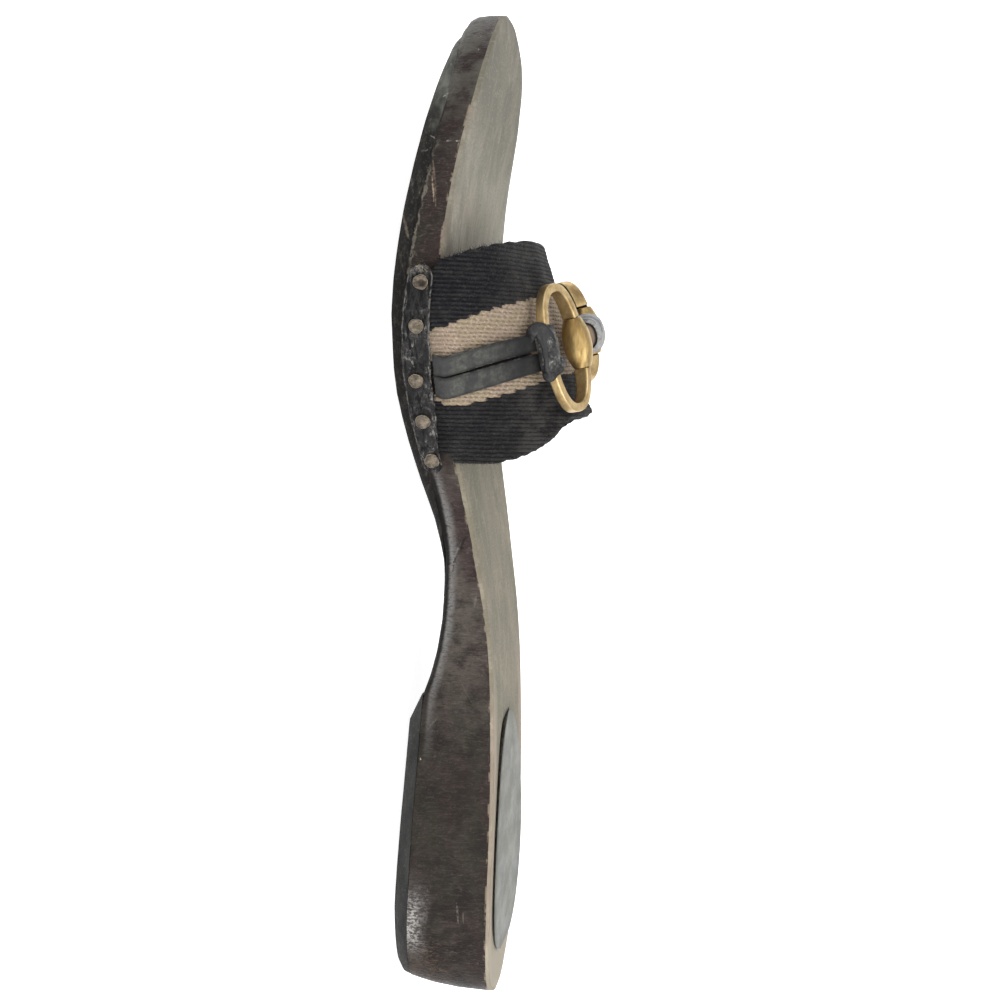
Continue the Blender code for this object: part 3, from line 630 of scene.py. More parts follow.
def stained_wood():
    f = Finish("stained_wood", 0.1)
    rise, drop = f.attribute("rise"), f.attribute("drop")
    broad = f.noise((16, 18, 9), 3, 0.55)
    patch = f.noise((6, 6, 7), 4, 0.62)
    line = f.noise((2.4, 0.42, 3.2), 2, 0.6, distortion=0.9)
    wrinkle = f.noise((2.2, 1, 2.6), 3, 0.65, distortion=1.8)
    pebble = f.noise((0.9, 0.6, 0.9), 2, 0.7, distortion=0.5)
    f.base = f.mix((broad, 0.42, 0.58), (31, 25, 22), (31, 29, 23))
    f.coat((44, 38, 34), (patch, 0.47, 0.64), 0.6)
    f.coat((23, 17, 16), (patch, 0.49, 0.36), 0.7)
    heel_end = f.product((f.y, 44, 8), (patch, 0.66, 0.44))
    f.coat((14, 8, 6), heel_end, 0.95)
    tan = f.product((f.y, 22, 8), (rise, 15, 5), (wrinkle, 0.42, 0.62))
    f.coat((60, 43, 29), tan, 0.6)
    # lighter, greener stain towards the toe, which also stands for a painted highlight on the
    # nose's rounding
    toe = f.product((f.y, 206, 240), (patch, 0.36, 0.54))
    f.coat((76, 75, 69), toe, 0.7)
    waist = f.product((f.y, 56, 96), (f.y, 150, 126))
    f.coat((76, 70, 65), waist, (patch, 0.36, 0.6), 0.6)
    fore = f.product((f.y, 136, 150), (f.y, 226, 208))
    reddish = f.product((drop, 7, 0.5), (broad, 0.6, 0.44))
    f.coat((38, 27, 26), reddish, 0.4)
    arch_top = f.product((f.y, 104, 114), (f.y, 136, 128), (drop, 5.5, 1))
    f.coat((38, 28, 28), arch_top, 0.7)
    # a painted highlight in a band along the waist's lower arris, just above its dark under-edge,
    # speckled by the pebble noise
    waist_arris_highlight = f.product(waist, (rise, 1, 2), (f.total(rise, f.product(patch, 3)), 5.6, 3.4))
    f.coat((98, 97, 96), waist_arris_highlight, (pebble, 0.3, 0.6, 0.5, 0.95))
    # a painted highlight on the inner side of the heel's rear corner, speckled by a fine grain,
    # with a brighter painted glint at its core
    heel_highlight = f.product((f.y, 8, 17), (f.y, 38, 20),
                         (f.total(rise, f.product(broad, 9)), 11.5, 5), (f.x, -4, -14))
    grain = f.ramp(f.total(pebble, f.product(wrinkle, 0.6)), 0.7, 0.96)
    f.coat((104, 101, 99), heel_highlight, (grain, 0, 1, 0.3, 0.8))
    glint = f.product((f.y, 13, 18), (f.y, 31, 24), (rise, 4.2, 1.4), grain, (f.x, -4, -14))
    f.coat((170, 168, 164), glint, 0.5)
    f.coat((84, 76, 70), (line, 0.52, 0.62), 0.09)
    f.coat((18, 14, 13), (line, 0.48, 0.38), 0.14)
    folds = f.ramp(f.total(waist, fore, heel_end), 0, 1, 0.3, 1)
    f.coat((15, 12, 11), (wrinkle, 0.455, 0.36), folds, 0.42)
    f.coat((98, 90, 84), (wrinkle, 0.56, 0.68), folds, 0.22)
    f.coat((98, 90, 84), (pebble, 0.57, 0.68), 0.12)
    # near black along the waist's rounded under-edge: painted shade on the downward-facing
    # rounding, which also stands for a thin black sole edge
    under = f.ramp(f.total(rise, f.product(wrinkle, 0.8)), 2.2, 1.35)
    f.coat((7, 6, 6), under, waist)
    ragged = f.total(rise, f.product(f.noise((2, 2.4, 1), 3, 0.7), -2.6))
    f.coat((16, 15, 14), fore, (ragged, -0.5, -0.8))
    # a pale ragged line along the forefoot's lower arris above the rubber: wear, and a painted
    # highlight on the arris
    wear_and_highlight_line = f.product(fore, (ragged, -1, -0.8), (ragged, -0.2, -0.5))
    f.coat((108, 102, 92), wear_and_highlight_line, (patch, 0.4, 0.6), 0.5)
    rim = f.product((drop, 0.6, 0.15), (f.noise((3, 5.5, 3), 3, 0.75), 0.5, 0.62))
    f.coat((140, 126, 110), rim, 0.5)
    f.strokes(STROKES, 1.3)
    f.strokes([(*crack, (6, 5, 5)) for crack in CRACKS], 2)
    dull = f.total(0.38, f.product((patch, 0.3, 0.7), 0.14), f.product((pebble, 0.4, 0.7), 0.1))
    return f.done(dull, (broad, 0.5), (wrinkle, 0.22), (line, 0.06), (pebble, 0.16))


def tread_rubber():
    f = Finish("tread_rubber", 0.12)
    broad = f.noise((12, 14, 5))
    scuff = f.noise((1.6, 2.6, 1), 4, 0.75, distortion=0.6)
    blotch = f.noise((4, 5, 3), 3, 0.6)
    grit = f.noise(0.5)
    pale = f.mix((broad, 0.35, 0.65), (32, 32, 32), (43, 43, 42))
    toe = f.mix((blotch, 0.35, 0.65), (56, 57, 53), (80, 80, 75))
    black = f.mix((scuff, 0.46, 0.64), (11, 10, 9), (38, 35, 32))
    scuffed = f.product((scuff, 0.58, 0.7), (blotch, 0.5, 0.62), 0.8)
    black = f.mix(scuffed, black, (88, 82, 72))
    f.base = f.mix((f.y, 96, 112), pale, black)
    f.coat(toe, (f.total(f.y, f.product(blotch, 18)), 224, 240))
    f.coat((92, 90, 84), (grit, 0.58, 0.75), 0.2)
    f.strokes(RUBBER_STROKES, 1.3)
    return f.done((scuff, 0.3, 0.7, 0.5, 0.8), (blotch, 0.3), (scuff, 0.3), (grit, 0.08))


def footbed_suede():
    f = Finish("footbed_suede", 0.1, Sheen_Weight=0.04, Sheen_Roughness=0.5)
    streak = f.noise((13, 24, 26), 4, 0.6, distortion=0.7)
    brushed = f.noise((6, 11, 6), 4, 0.65, distortion=0.8)
    patch = f.noise((26, 16, 26), 4, 0.6, distortion=0.6)
    nap = f.noise((1.8, 0.6, 1), 3, 0.75)
    waist = f.mix((streak, 0.4, 0.6), (97, 95, 80), (110, 104, 90))
    fore = f.mix((streak, 0.4, 0.6), (116, 114, 102), (127, 123, 111))
    toe = f.mix((streak, 0.4, 0.6), (88, 86, 76), (98, 95, 84))
    f.base = f.mix((f.y, 150, 180), waist, fore)
    # darker towards the toe: painted shade
    f.coat(toe, (f.y, 200, 232))
    f.coat((126, 114, 102), (patch, 0.46, 0.68), 0.24)
    f.coat((94, 94, 82), (patch, 0.52, 0.32), 0.24)
    f.coat((86, 85, 74), (brushed, 0.5, 0.66), 0.3)
    f.coat((140, 131, 117), (brushed, 0.47, 0.36), 0.25)
    f.coat((146, 139, 127), (nap, 0.53, 0.66), 0.3)
    f.coat((72, 70, 62), (nap, 0.47, 0.34), 0.35)
    rim = f.attribute("rim")
    f.coat((136, 124, 111), (rim, 8, 3), (f.y, 96, 70), 0.7)
    f.coat((137, 130, 116), (f.y, 22, 10), 0.8)
    f.coat((92, 84, 74), (rim, 0.9, 0.3), (brushed, 0.35, 0.6), 0.4)
    # darker on the inner half around the strap's toe edge: painted shade of the strap
    under_strap_shade = f.product((f.y, 176, 190), (f.y, 212, 190))
    f.coat((70, 61, 53), under_strap_shade, (f.x, 0, -40), (streak, 0.62, 0.4), 0.6)
    return f.done((nap, 0.3, 0.7, 0.8, 0.95), (brushed, 0.1), (nap, 0.08))


def pad_leather():
    f = Finish("pad_leather", 0.22)
    streak = f.noise((14, 15, 16), 3, 0.6)
    rubbed = f.noise((9, 6, 6), 4, 0.65)
    pores = f.cells(0.6)
    f.base = f.mix((streak, 0.35, 0.65), (84, 86, 82), (95, 95, 87))
    f.coat((84, 84, 76), (rubbed, 0.5, 0.66), 0.45)
    f.coat((126, 126, 119), (f.noise((1.6, 0.5, 0.6)), 0.56, 0.7), 0.2)
    return f.done((rubbed, 0.3, 0.7, 0.5, 0.68), (streak, 0.1), (rubbed, 0.08), (pores, 0.04))


# a near-black finish for the bead along the pad's edge: a glue line, and painted shade in the gap
# under the pad's edge
def pad_glue_and_shade():
    f = Finish("pad_glue_and_shade", 0.2)
    crumb = f.noise((1, 1.6, 1), 3, 0.7)
    f.base = f.mix((crumb, 0.4, 0.7), (12, 10, 8), (44, 38, 30))
    return f.done(0.8, (crumb, 0.3), (f.noise(0.6, 3, 0.7), 0.15))


def striped_webbing():
    f = Finish("striped_webbing", 0.08, Sheen_Weight=0.04, Sheen_Roughness=0.4)
    u, share, _ = f.uv()
    sway = f.total(f.wander(0.6, (5, 3, 5)), f.wander(0.5, (1.3, 1, 1.3)))
    row = f.math("DIVIDE", f.total(f.y, sway), RIB_PITCH)
    row_middle = f.total(f.math("FLOOR", row), 0.5)
    stepped = f.less(share, f.product(f.less(row_middle, row), BAND_STEP))
    stepped = f.total(stepped, f.wander(0.014, (1.4, 0.6, 1.4), 3))
    crest = f.math("SINE", f.product(u, math.pi))
    band = f.product((f.less(stepped, f.product(crest, 0.024)), *BAND_TOE_EDGE),
                     (f.less(stepped, f.product(crest, 0.032)), *BAND_HEEL_EDGE))
    rib = f.math("ABSOLUTE", f.math("SINE", f.product(row, math.pi)))
    yarn = f.noise((0.6, 0.5, 0.6), 2, 0.7)
    fluff = f.noise((1.6, 0.9, 1.6), 3, 0.7)
    # darker in the grooves between the ribs, near black in the black weave and brown in the pale
    # band: painted shade
    rib_groove_shade = f.ramp(f.total(rib, f.product(yarn, 0.35)), 0.62, 0.25)
    slant = f.total(f.product(u, WEB_GIRTH), f.product(f.y, 0.75), f.product(fluff, 0.9))
    twist = f.math("SINE", f.product(slant, math.tau / YARN_TWIST))
    worn = f.noise((5, 4, 6), 4, 0.6)
    crest_wear = f.product((f.z, 24, 34), (worn, 0.42, 0.6))
    f.base = f.mix((f.x, -40, -28), (18, 18, 21), (25, 24, 24))
    f.coat((44, 43, 42), (worn, 0.46, 0.66), 0.4)
    f.coat((58, 57, 55), crest_wear, 0.5)
    f.coat((66, 64, 62), (yarn, 0.52, 0.64), (fluff, 0.42, 0.58), 0.3)
    f.coat((50, 49, 49), (rib, 0.8, 1), (fluff, 0.36, 0.56), 0.35)
    f.coat((3, 3, 4), rib_groove_shade, (fluff, 0.28, 0.5), 0.75)
    black = f.base
    f.base = f.mix((f.noise((6, 3, 6)), 0.42, 0.58), (132, 117, 103), (128, 116, 97))
    f.coat((170, 155, 138), (yarn, 0.5, 0.68), 0.6)
    f.coat((116, 102, 88), (fluff, 0.5, 0.34), 0.5)
    dash = f.product((twist, 0.2, -0.8), (rib, 0.98, 0.45), (yarn, 0.34, 0.6))
    f.coat((92, 79, 66), dash, 0.75)
    f.coat((100, 86, 72), rib_groove_shade, (fluff, 0.3, 0.6), 0.45)
    f.coat((108, 99, 84), (f.z, 26, 34), (fluff, 0.36, 0.6), 0.15)
    f.base = f.mix(band, black, f.base)
    from_crest = f.apart(u, 0.5)
    # near black under the thongs' feet and in the narrow line between the two thongs: painted shade
    foot = f.product((share, 0.46, 0.475), (share, 0.665, 0.65), (from_crest, 0.315, 0.33))
    thong_middle = f.total(0.5375, f.product((from_crest, 0.376, 0.14), 0.025))
    between_thongs_shade = f.product((f.apart(share, thong_middle), 0.05, 0.04), (from_crest, 0.13, 0.15))
    f.coat((7, 7, 7), f.math("MAXIMUM", foot, between_thongs_shade), 0.95)
    return f.done(0.9, (rib, 0.24), (f.product(twist, band), 0.05), (yarn, 0.25), (fluff, 0.2))


def worked_leather(name, dark, light, worn, grain, cracks, shine, gloss, ends, napped, torn=0):
    """Old leather: patches, nap, worn edges and cracks that run along its length."""
    f = Finish(name, gloss)
    edge, length = f.attribute("edge"), f.attribute("length")
    broad = f.noise((5, 6, 3.5), 3, 0.6)
    nap = f.noise(0.8, 3, 0.75)
    crease = f.noise(grain, 3, 0.7, distortion=0.35)
    scratch = f.noise((grain[2], grain[1] * 0.6, grain[0] * 0.8), 2, 0.6, distortion=0.3)
    f.base = f.mix((broad, 0.4, 0.6), dark, light)
    f.coat(worn, (nap, 0.52, 0.63), (broad, 0.4, 0.58), napped)
    f.coat((14, 13, 13), (nap, 0.48, 0.36), napped)
    scuffed = f.product((scratch, 0.55, 0.64), (broad, 0.47, 0.6))
    f.coat(worn, scuffed, cracks * 0.75)
    f.coat((4, 4, 4), (crease, 0.475, 0.42), cracks)
    if ends:
        f.coat((22, 22, 23), (f.apart(length, 0.45), 0.15, 0.46), ends)
        f.coat((18, 18, 18), (edge, 1.3, 0.3), 0.55)
    if torn:
        f.coat((98, 92, 82), (length, 0.955, 0.98), (f.noise(1.1, 3, 0.75), 0.47, 0.56), torn)
    rubbed = f.product((edge, 0.5, 0.15), (f.noise((2, 2.6, 2), 3, 0.7), 0.48, 0.58))
    f.coat(worn, rubbed, 0.25 if ends else 0.4)
    # near black where a piece marks its inside, the keeper's open bore: painted shade
    f.coat((12, 11, 10), f.attribute("inside"), 0.9)
    f.coat((146, 128, 110), f.attribute("flesh"), (nap, 0.3, 0.6, 0.75, 1))
    return f.done((broad, 0.3, 0.7, shine, shine + 0.2),
                  (crease, 0.6 * cracks), (nap, 0.4 * napped))


def metal(name, colour, dull, roughness, brushed=(4, 5, 4)):
    f = Finish(name, Metallic=1)
    cloud = f.noise(brushed, 3, 0.6)
    spot = f.noise(0.7, 3, 0.7)
    hair = f.noise((0.35, 5, 0.35), 2, 0.6)
    f.base = f.mix((cloud, 0.4, 0.7), colour, dull)
    f.coat(dull, (spot, 0.58, 0.72), 0.35)
    f.coat(dull, (hair, 0.5, 0.35), 0.25)
    return f.done((cloud, 0.3, 0.7, roughness, roughness + 0.12), (hair, 0.03), (spot, 0.03))


def tack_metal():
    f = Finish("tack_metal", 0.4, Metallic=0.75)
    cloud = f.noise(1.6, 3, 0.7)
    scratch = f.noise((0.5, 0.35, 2), 3, 0.7, distortion=1.2)
    f.base = f.mix((cloud, 0.36, 0.64), (104, 95, 83), (70, 64, 55))
    f.coat((34, 30, 25), (scratch, 0.44, 0.34), 0.8)
    f.coat((166, 156, 134), (scratch, 0.62, 0.72), 0.4)
    hollow = f.product(f.attribute("hollow"), (cloud, 0.7, 0.5))
    f.coat((22, 18, 15), hollow, 0.9)
    edge = f.attribute("edge")
    f.coat((176, 164, 140), (edge, 0.5, 0.1), (cloud, 0.4, 0.6))
    return f.done((cloud, 0.3, 0.7, 0.42, 0.6), (cloud, 0.15), (scratch, 0.15))


def loose_fibre():
    f = Finish("loose_fibre", 0.1)
    f.base = f.mix((f.noise(2), 0.4, 0.62), (16, 16, 17), (84, 82, 79))
    return f.done(0.9, (f.noise(0.5), 0.05))


FINISH = {
    "fibre": loose_fibre(),
    "wood": stained_wood(),
    "rubber": tread_rubber(),
    "suede": footbed_suede(),
    "pad": pad_leather(),
    "glue_and_shade_line": pad_glue_and_shade(),
    "webbing": striped_webbing(),
    "barrel": metal("turned_brass", (166, 143, 98), (120, 98, 60), 0.38, (2.2, 9, 2.2)),
    "brass": metal("aged_brass", (187, 164, 121), (145, 122, 83), 0.38),
    # dark brass for the ring's bar inside the barrel: painted shade in the gaps at the barrel's
    # ends
    "core": metal("brass_core_in_shade", (40, 32, 20), (26, 21, 14), 0.6),
    "tack": tack_metal(),
}
LEATHERS = {  # colours, grain, cracks, shine, gloss, dark ends, nap, torn end
    "rand": ("rand_leather", (26, 25, 25), (44, 43, 43), (118, 116, 112),
             (0.9, 5, 0.8), 1, 0.34, 0.1, 0, 0.35, 0.8),
    "thong": ("thong_leather", (42, 43, 42), (60, 60, 57), (96, 95, 89),
              (2, 2, 2), 0.1, 0.4, 0.14, 0.75, 0.25),
    "knot": ("knot_leather", (40, 40, 41), (74, 74, 72), (130, 129, 123),
             (1.4, 1.4, 1.4), 0.4, 0.34, 0.15, 0.8, 0.7),
    "turn": ("turned_leather", (21, 21, 22), (30, 30, 31), (66, 66, 64),
             (1.8, 1.8, 1.8), 0.3, 0.3, 0.25, 0, 0.2),
    "keeper": ("keeper_leather", (114, 115, 117), (134, 134, 132), (168, 168, 164),
               (0.5, 4, 4), 0.35, 0.45, 0.15, 0, 0.1),
}
for leather, recipe in LEATHERS.items():
    FINISH[leather] = worked_leather(*recipe)


# ---- sole
def wall_profile():
    """Steps down one side of the wood: share of the height, lift and inset by arris."""
    turns = np.linspace(0, math.pi / 2, 6)
    rows = [(0, 0, 1, 0, m) for m in (1, 0.6, 0.25)]
    rows += [(0, -(1 - math.cos(t)), 1 - math.sin(t), 0, 0) for t in turns]
    rows += [(d, 0, 0, 0, 0) for d in np.linspace(0, 1, 36)[1:-1]]
    rows += [(1, 1 - math.sin(t), 0, 1 - math.cos(t), 0) for t in turns]
    rows += [(1, 0, 0, 1, m) for m in (0.25, 0.6, 1)]
    return np.array(rows)


PROFILE = wall_profile()


def down_and_back(u, rows):
    """The side and the row at u: down the inner side and back up the outer one."""
    half = len(rows) - 1
    step = np.rint(u * 2 * half).astype(int)
    return np.where(step <= half, INNER, OUTER), rows[np.minimum(step, 2 * half - step)].T


def wall_relief(y, z, side):
    """How far the carved wall stands out, in mm."""
    out = 0.12 * ripple(y / 26, z / 11, 3) + 0.05 * ripple(y / 5, z / 4, 4)
    rise = z - underside_z(y)
    out = out + 0.3 * hill((rise - 2.4, 1.4)) * fade(y, 66, 90) * fade(y, 150, 128)
    chips = np.maximum(ripple(y / 4, z / 6, 6) - 0.7, 0) * fade(footbed_z(y) - z, 1.2, 0.2)
    out = out - 0.25 * chips
    for at_y, at_z, reach, height, deep in GOUGES:
        near = ((y - at_y) / reach) ** 2 + ((z - at_z) / height) ** 2
        out = out - deep * np.exp(-near * 1.4) * (side == INNER)
    return out


def place_wood(u, v):
    side, (depth, lift, upper, lower, middle) = down_and_back(u, PROFILE)
    y = y_of(v * math.pi)
    rear, nose, inset = (np.interp(depth, WALL_LEVELS["depth"], WALL_LEVELS[key])
                         for key in ("rear", "nose", "side"))
    moved = undercut(y, rear, nose)
    top, bottom = footbed_z(moved), underside_z(moved)
    waist = fade(y, 76, 86) * fade(y, 124, 112)
    low_arris = blend(LOWER_ARRIS, WAIST_ARRIS, waist)
    arris = np.where(depth < 0.5, UPPER_ARRIS, low_arris)
    on_wall = (depth > 0) & (depth < 1)
    z = np.where(on_wall, blend(top - UPPER_ARRIS, bottom + low_arris, depth),
                 blend(top, bottom, depth) + lift * arris)
    inset = inset + upper * UPPER_ARRIS + lower * low_arris
    inset = inset - wall_relief(moved, z, side) * (middle <= 0)
    x = blend(drawn_in(y, side, inset), middle_x(y), middle)
    return np.stack([x, moved, z], -1)


def wood_marks(points, u, v):
    y, z = points[:, 1], points[:, 2]
    return {"rise": z - underside_z(y), "drop": footbed_z(y) - z}


def make_wood():
    piece = solid_grid("carved_sole", 2 * (len(PROFILE) - 1), 400, place_wood, wood_marks)
    set_off(piece, "wood", "stained_wood", "sole_wood", sharp=50)


def place_tread(tread, draw_in, start, end, rear, nose):
    """A tread under the wood, feathered out at its rear end where it starts past the heel."""
    rows = [(0, m) for m in (1, 0.5)] + [(d, 0) for d in np.linspace(0, 1, 13)]
    rows += [(1, m) for m in (0.15, 0.35, 0.7, 1)]
    rows = np.array(rows)

    def place(u, v):
        side, (depth, middle) = down_and_back(u, rows)
        y = y_between(start, end, v)
        moved = undercut(y, np.interp(depth, draw_in["depth"], rear),
                         np.interp(depth, draw_in["depth"], nose))
        top = underside_z(moved) - TREAD_GAP
        bottom = np.interp(moved, tread["y"], tread["z"])
        inset = smooth(depth, draw_in["depth"], draw_in["side"])
        if start > 0:
            full = fade(moved, start, start + FORE_FEATHER["reach"])
            bottom = blend(top, bottom, blend(FORE_FEATHER["thin"], 1, full))
            narrowed = fade(moved, start + FORE_FEATHER["inset_reach"], start)
            inset = inset + FORE_FEATHER["inset"] * narrowed
        z = blend(top, bottom, depth)
        inset = inset + 0.1 * ripple(y / 9, z / 4, 8)
        x = blend(drawn_in(y, side, inset), middle_x(y), middle)
        return np.stack([x, moved, z], -1)

    return place, 2 * (len(rows) - 1)


def make_treads():
    none = (0, 0, 0)
    for name, node, rows, *shape in (
        ("heel_rubber", "heel_lift", 150,
         LIFT_TREAD, LIFT_DRAW_IN, 0, LIFT_FRONT, LIFT_DRAW_IN["rear"], none),
        ("forefoot_rubber", "outsole_forefoot", 220,
         FORE_TREAD, FORE_DRAW_IN, FORE_START, LENGTH, none, FORE_DRAW_IN["nose"]),
    ):
        place, steps = place_tread(*shape)
        set_off(solid_grid(name, steps, rows, place), "rubber", "tread_rubber", node, sharp=40)


# ---- footbed
def footbed_top(x, y):
    inward = np.minimum(rim_of(x, y) - INSOLE_INSET, np.minimum(y, LENGTH - y))
    roll = np.clip(inward / INSOLE_ROLL, 0, 1)
    crown = np.interp(y, INSOLE_CROWN["y"], INSOLE_CROWN["z"])
    edge = 0.35 * fall(inward, 1.1) + 0.75 * (inward < 0.004)
    return footbed_z(y) + GAP + INSOLE_EDGE + crown * (1 - (1 - roll) ** 2) - edge


def place_footbed(u, v):
    y = y_between(INSOLE_INSET, LENGTH - INSOLE_INSET, v)
    share = 0.35 * u + 0.65 * (1 - np.cos(u * math.pi)) / 2
    x = blend(drawn_in(y, INNER, INSOLE_INSET), drawn_in(y, OUTER, INSOLE_INSET), share)
    under_pad = fade(np.hypot((x - PAD_MIDDLE_X) / 26, (y - 38) / 33), 1.1, 0.9)
    z = footbed_top(x, y) + 0.07 * ripple(x / 22, y / 30, 5) * (1 - under_pad)
    return np.stack([x, y, z], -1)


def footbed_marks(points, u, v):
    return {"rim": rim_of(points[:, 0], points[:, 1])}


def make_footbed():
    piece = laid_grid("footbed_cover", 110, 330, place_footbed, footbed_marks)
    thickened(piece, INSOLE_SHEET, (0, 0, 1))
    set_off(piece, "suede", "footbed_suede", "insole")


def pad_edge(share):
    skewed = np.clip(share, 0, 1) ** (math.log(0.5) / math.log(PAD_WIDEST))
    return PAD_HALF_WIDTH * 2 * np.sqrt(np.maximum(skewed * (1 - skewed), 0))


def place_pad(u, v):
    share = (1 - np.cos(v * math.pi)) / 2
    y = blend(PAD_REAR, PAD_FRONT, share)
    across = np.sin((u - 0.5) * math.pi)
    half = pad_edge(share)
    x = PAD_MIDDLE_X + half * across
    inward = np.minimum(half * (1 - np.abs(across)), (0.5 - np.abs(share - 0.5)) * 60)
    dome = 1 - (1 - np.clip(inward / 1.2, 0, 1)) ** 2
    z = footbed_top(x, y) + GAP + blend(PAD_LIP, PAD_THICKNESS, dome)
    return np.stack([x, y, z], -1)


def make_pad():
    piece = laid_grid("heel_cushion", 60, 120, place_pad)
    thickened(piece, PAD_LIP, (0, 0, 1))
    set_off(piece, "pad", "pad_leather", "heel_pad")


def swept(name, path, half_width, half_height, facing, columns, rows):
    """A rounded band along a smooth path: widths, heights and facing by station."""
    stations = np.linspace(0, 1, len(path))
    path, facing = np.array(path, float), np.array(facing, float)

    def along(t, table=path):
        return np.stack([smooth(t, stations, column) for column in table.T], -1)

    def place(u, v):
        middle = along(v)
        ahead = unit(along(np.minimum(v + 0.01, 1)) - along(np.maximum(v - 0.01, 0)))
        across = unit(np.cross(ahead, along(v, facing)))
        up = np.cross(across, ahead)
        turn = u * math.tau
        blunt = np.sqrt(np.clip(1 - np.abs(2 * v - 1) ** 8, 0.0004, 1))
        a, b = squared(turn, 0.75, 0.9)
        blunt = blunt * (1 + 0.07 * ripple(v * 5, np.cos(turn) * 0.5, len(name)))
        return carried(middle, (across, a * np.interp(v, stations, half_width) * blunt),
                       (up, b * np.interp(v, stations, half_height) * blunt))

    return solid_grid(name, columns, rows, place, knot_marks)


def make_pad_edge():
    share, thick, aside = (np.array(column) for column in PAD_CORE.values())
    x = np.append([PAD_MIDDLE_X + 1.5], PAD_MIDDLE_X - pad_edge(share) - aside)
    y = np.append([PAD_FRONT + 0.9], blend(PAD_REAR, PAD_FRONT, share) + aside)
    thick = np.append([0.2], thick)
    path = np.stack([x, y, footbed_top(x, y) + 0.45], -1)
    # a near-black bead along the pad's inner edge: a glue line, and painted shade in the gap
    # between pad and footbed
    bead = swept("pad_binding_edge", path, thick, thick * 0.8, [(0, 0, 1)] * len(x), 14, 160)
    set_off(bead, "glue_and_shade_line", "pad_leather")


# ---- strap
def web_point(angle, share):
    """A point on the webbing's outer face, by the angle over the foot and share across."""
    angle, share = np.broadcast_arrays(np.asarray(angle, float), np.asarray(share, float))
    row = {key: smooth(share, WEB_PROFILE["share"], column) for key, column in WEB_PROFILE.items()}
    inner = angle < math.pi / 2
    side = np.where(inner, INNER, OUTER)

    def pick(key):
        return np.where(inner, row["inner_" + key], row["outer_" + key])

    base_x, base_y = wall_point(pick("y"), side, GAP + WEB_THICKNESS)
    base_z = footbed_z(pick("y")) + WEB_START
    below = np.maximum(np.maximum(-angle, angle - math.pi), 0)
    tucked = 2.6 * fade(below, 0.1, 0.4) * (1 - 2 * share)
    arch = np.clip(angle, 0, math.pi)
    power = 2 / pick("fullness")
    rise, across = np.sin(arch) ** power, np.abs(np.cos(arch)) ** power
    # the heel edge curls down at the crest and swings in below it on the inner side
    curled = 0.8 * fade(share, 0.86, 0.95) - 1.7 * fade(share, 0.96, 1)
    swung = 1.7 * hill((rise - 0.87, 0.05)) * inner - 1.6 * fade(rise, 0.92, 1)
    swung = swung * fade(share, 0.75, 1)
    return np.stack([
        blend(row["crest_x"], base_x, across),
        base_y + (row["crest_y"] - base_y) * rise ** pick("sweep") - tucked + swung,
        base_z + (row["crest_z"] - base_z + curled) * rise - below * WEB_TAIL,
    ], -1)


def web_frame(angle, share):
    """The point, the directions along and across the webbing, and outward."""
    step = 0.01
    along = unit(web_point(angle + step, share) - web_point(angle - step, share))
    low, high = np.clip(share - step, 0, 1), np.clip(share + step, 0, 1)
    across = unit(web_point(angle, high) - web_point(angle, low))
    return web_point(angle, share), along, across, unit(np.cross(across, along))


def place_web(u, v):
    angle = -1 + (math.pi + 2) * u
    point, _, across, normal = web_frame(angle, v)
    rib = np.abs(np.sin(math.pi * point[:, 1] / RIB_PITCH))
    edge = np.minimum(v, 1 - v) * WEB_WIDTH
    height = RIB_HEIGHT * (rib - 1) - 0.35 * fall(edge, 0.9) + 0.1 * ripple(u * 4, v * 5, 11)
    for at_angle, at_share, reach, share_reach, swell in STRAP_FOLDS:
        height = height + swell * hill((angle - at_angle, reach), (v - at_share, share_reach))
    scallop = 0.4 * (rib - 0.5) * np.clip(1 - edge, 0, 1)
    return carried(point, (normal, height), (across, np.where(v < 0.5, -1, 1) * scallop))


def make_strap():
    piece = laid_grid("woven_strap", 190, 250, place_web)
    thickened(piece, WEB_SHEET, (0, 0, 1))
    set_off(piece, "webbing", "striped_webbing", "strap_web")


def make_fuzz():
    """Loose fibres along both woven edges of the strap."""
    rng = np.random.default_rng(61)
    count = 1500
    edge = rng.integers(0, 2, count)
    angle = rng.uniform(0.02, math.pi - 0.02, count)
    share = np.where(edge == 0, rng.uniform(0, 0.012, count), rng.uniform(0.988, 1, count))
    root, along, across, normal = web_frame(angle, share)
    away = across * np.where(edge == 0, -1, 1)[:, None]
    lean = rng.normal(0, 0.6, (count, 1))
    heading = unit(away + along * lean + normal * rng.uniform(-0.4, 0.8, (count, 1)))
    length = rng.uniform(0.3, 1.4, (count, 1)) ** 1.5
    wide = unit(np.cross(heading, normal)) * rng.uniform(0.05, 0.12, (count, 1))
    root = root - normal * rng.uniform(0.1, 1.2, (count, 1)) - away * 0.3
    tip = root + heading * (length + 0.3) + along * rng.normal(0, 0.15, (count, 1))
    points = np.stack([root - wide, root + wide, tip], 1).reshape(-1, 3)
    mesh = bpy.data.meshes.new("strap_fibres")
    mesh.from_pydata(((points - TABLE_ORIGIN) * MM).tolist(), [],
                     np.arange(count * 3).reshape(-1, 3).tolist())
    mesh.update()
    set_off(added("strap_fibres", mesh), "fibre", "striped_webbing", sharp=30)


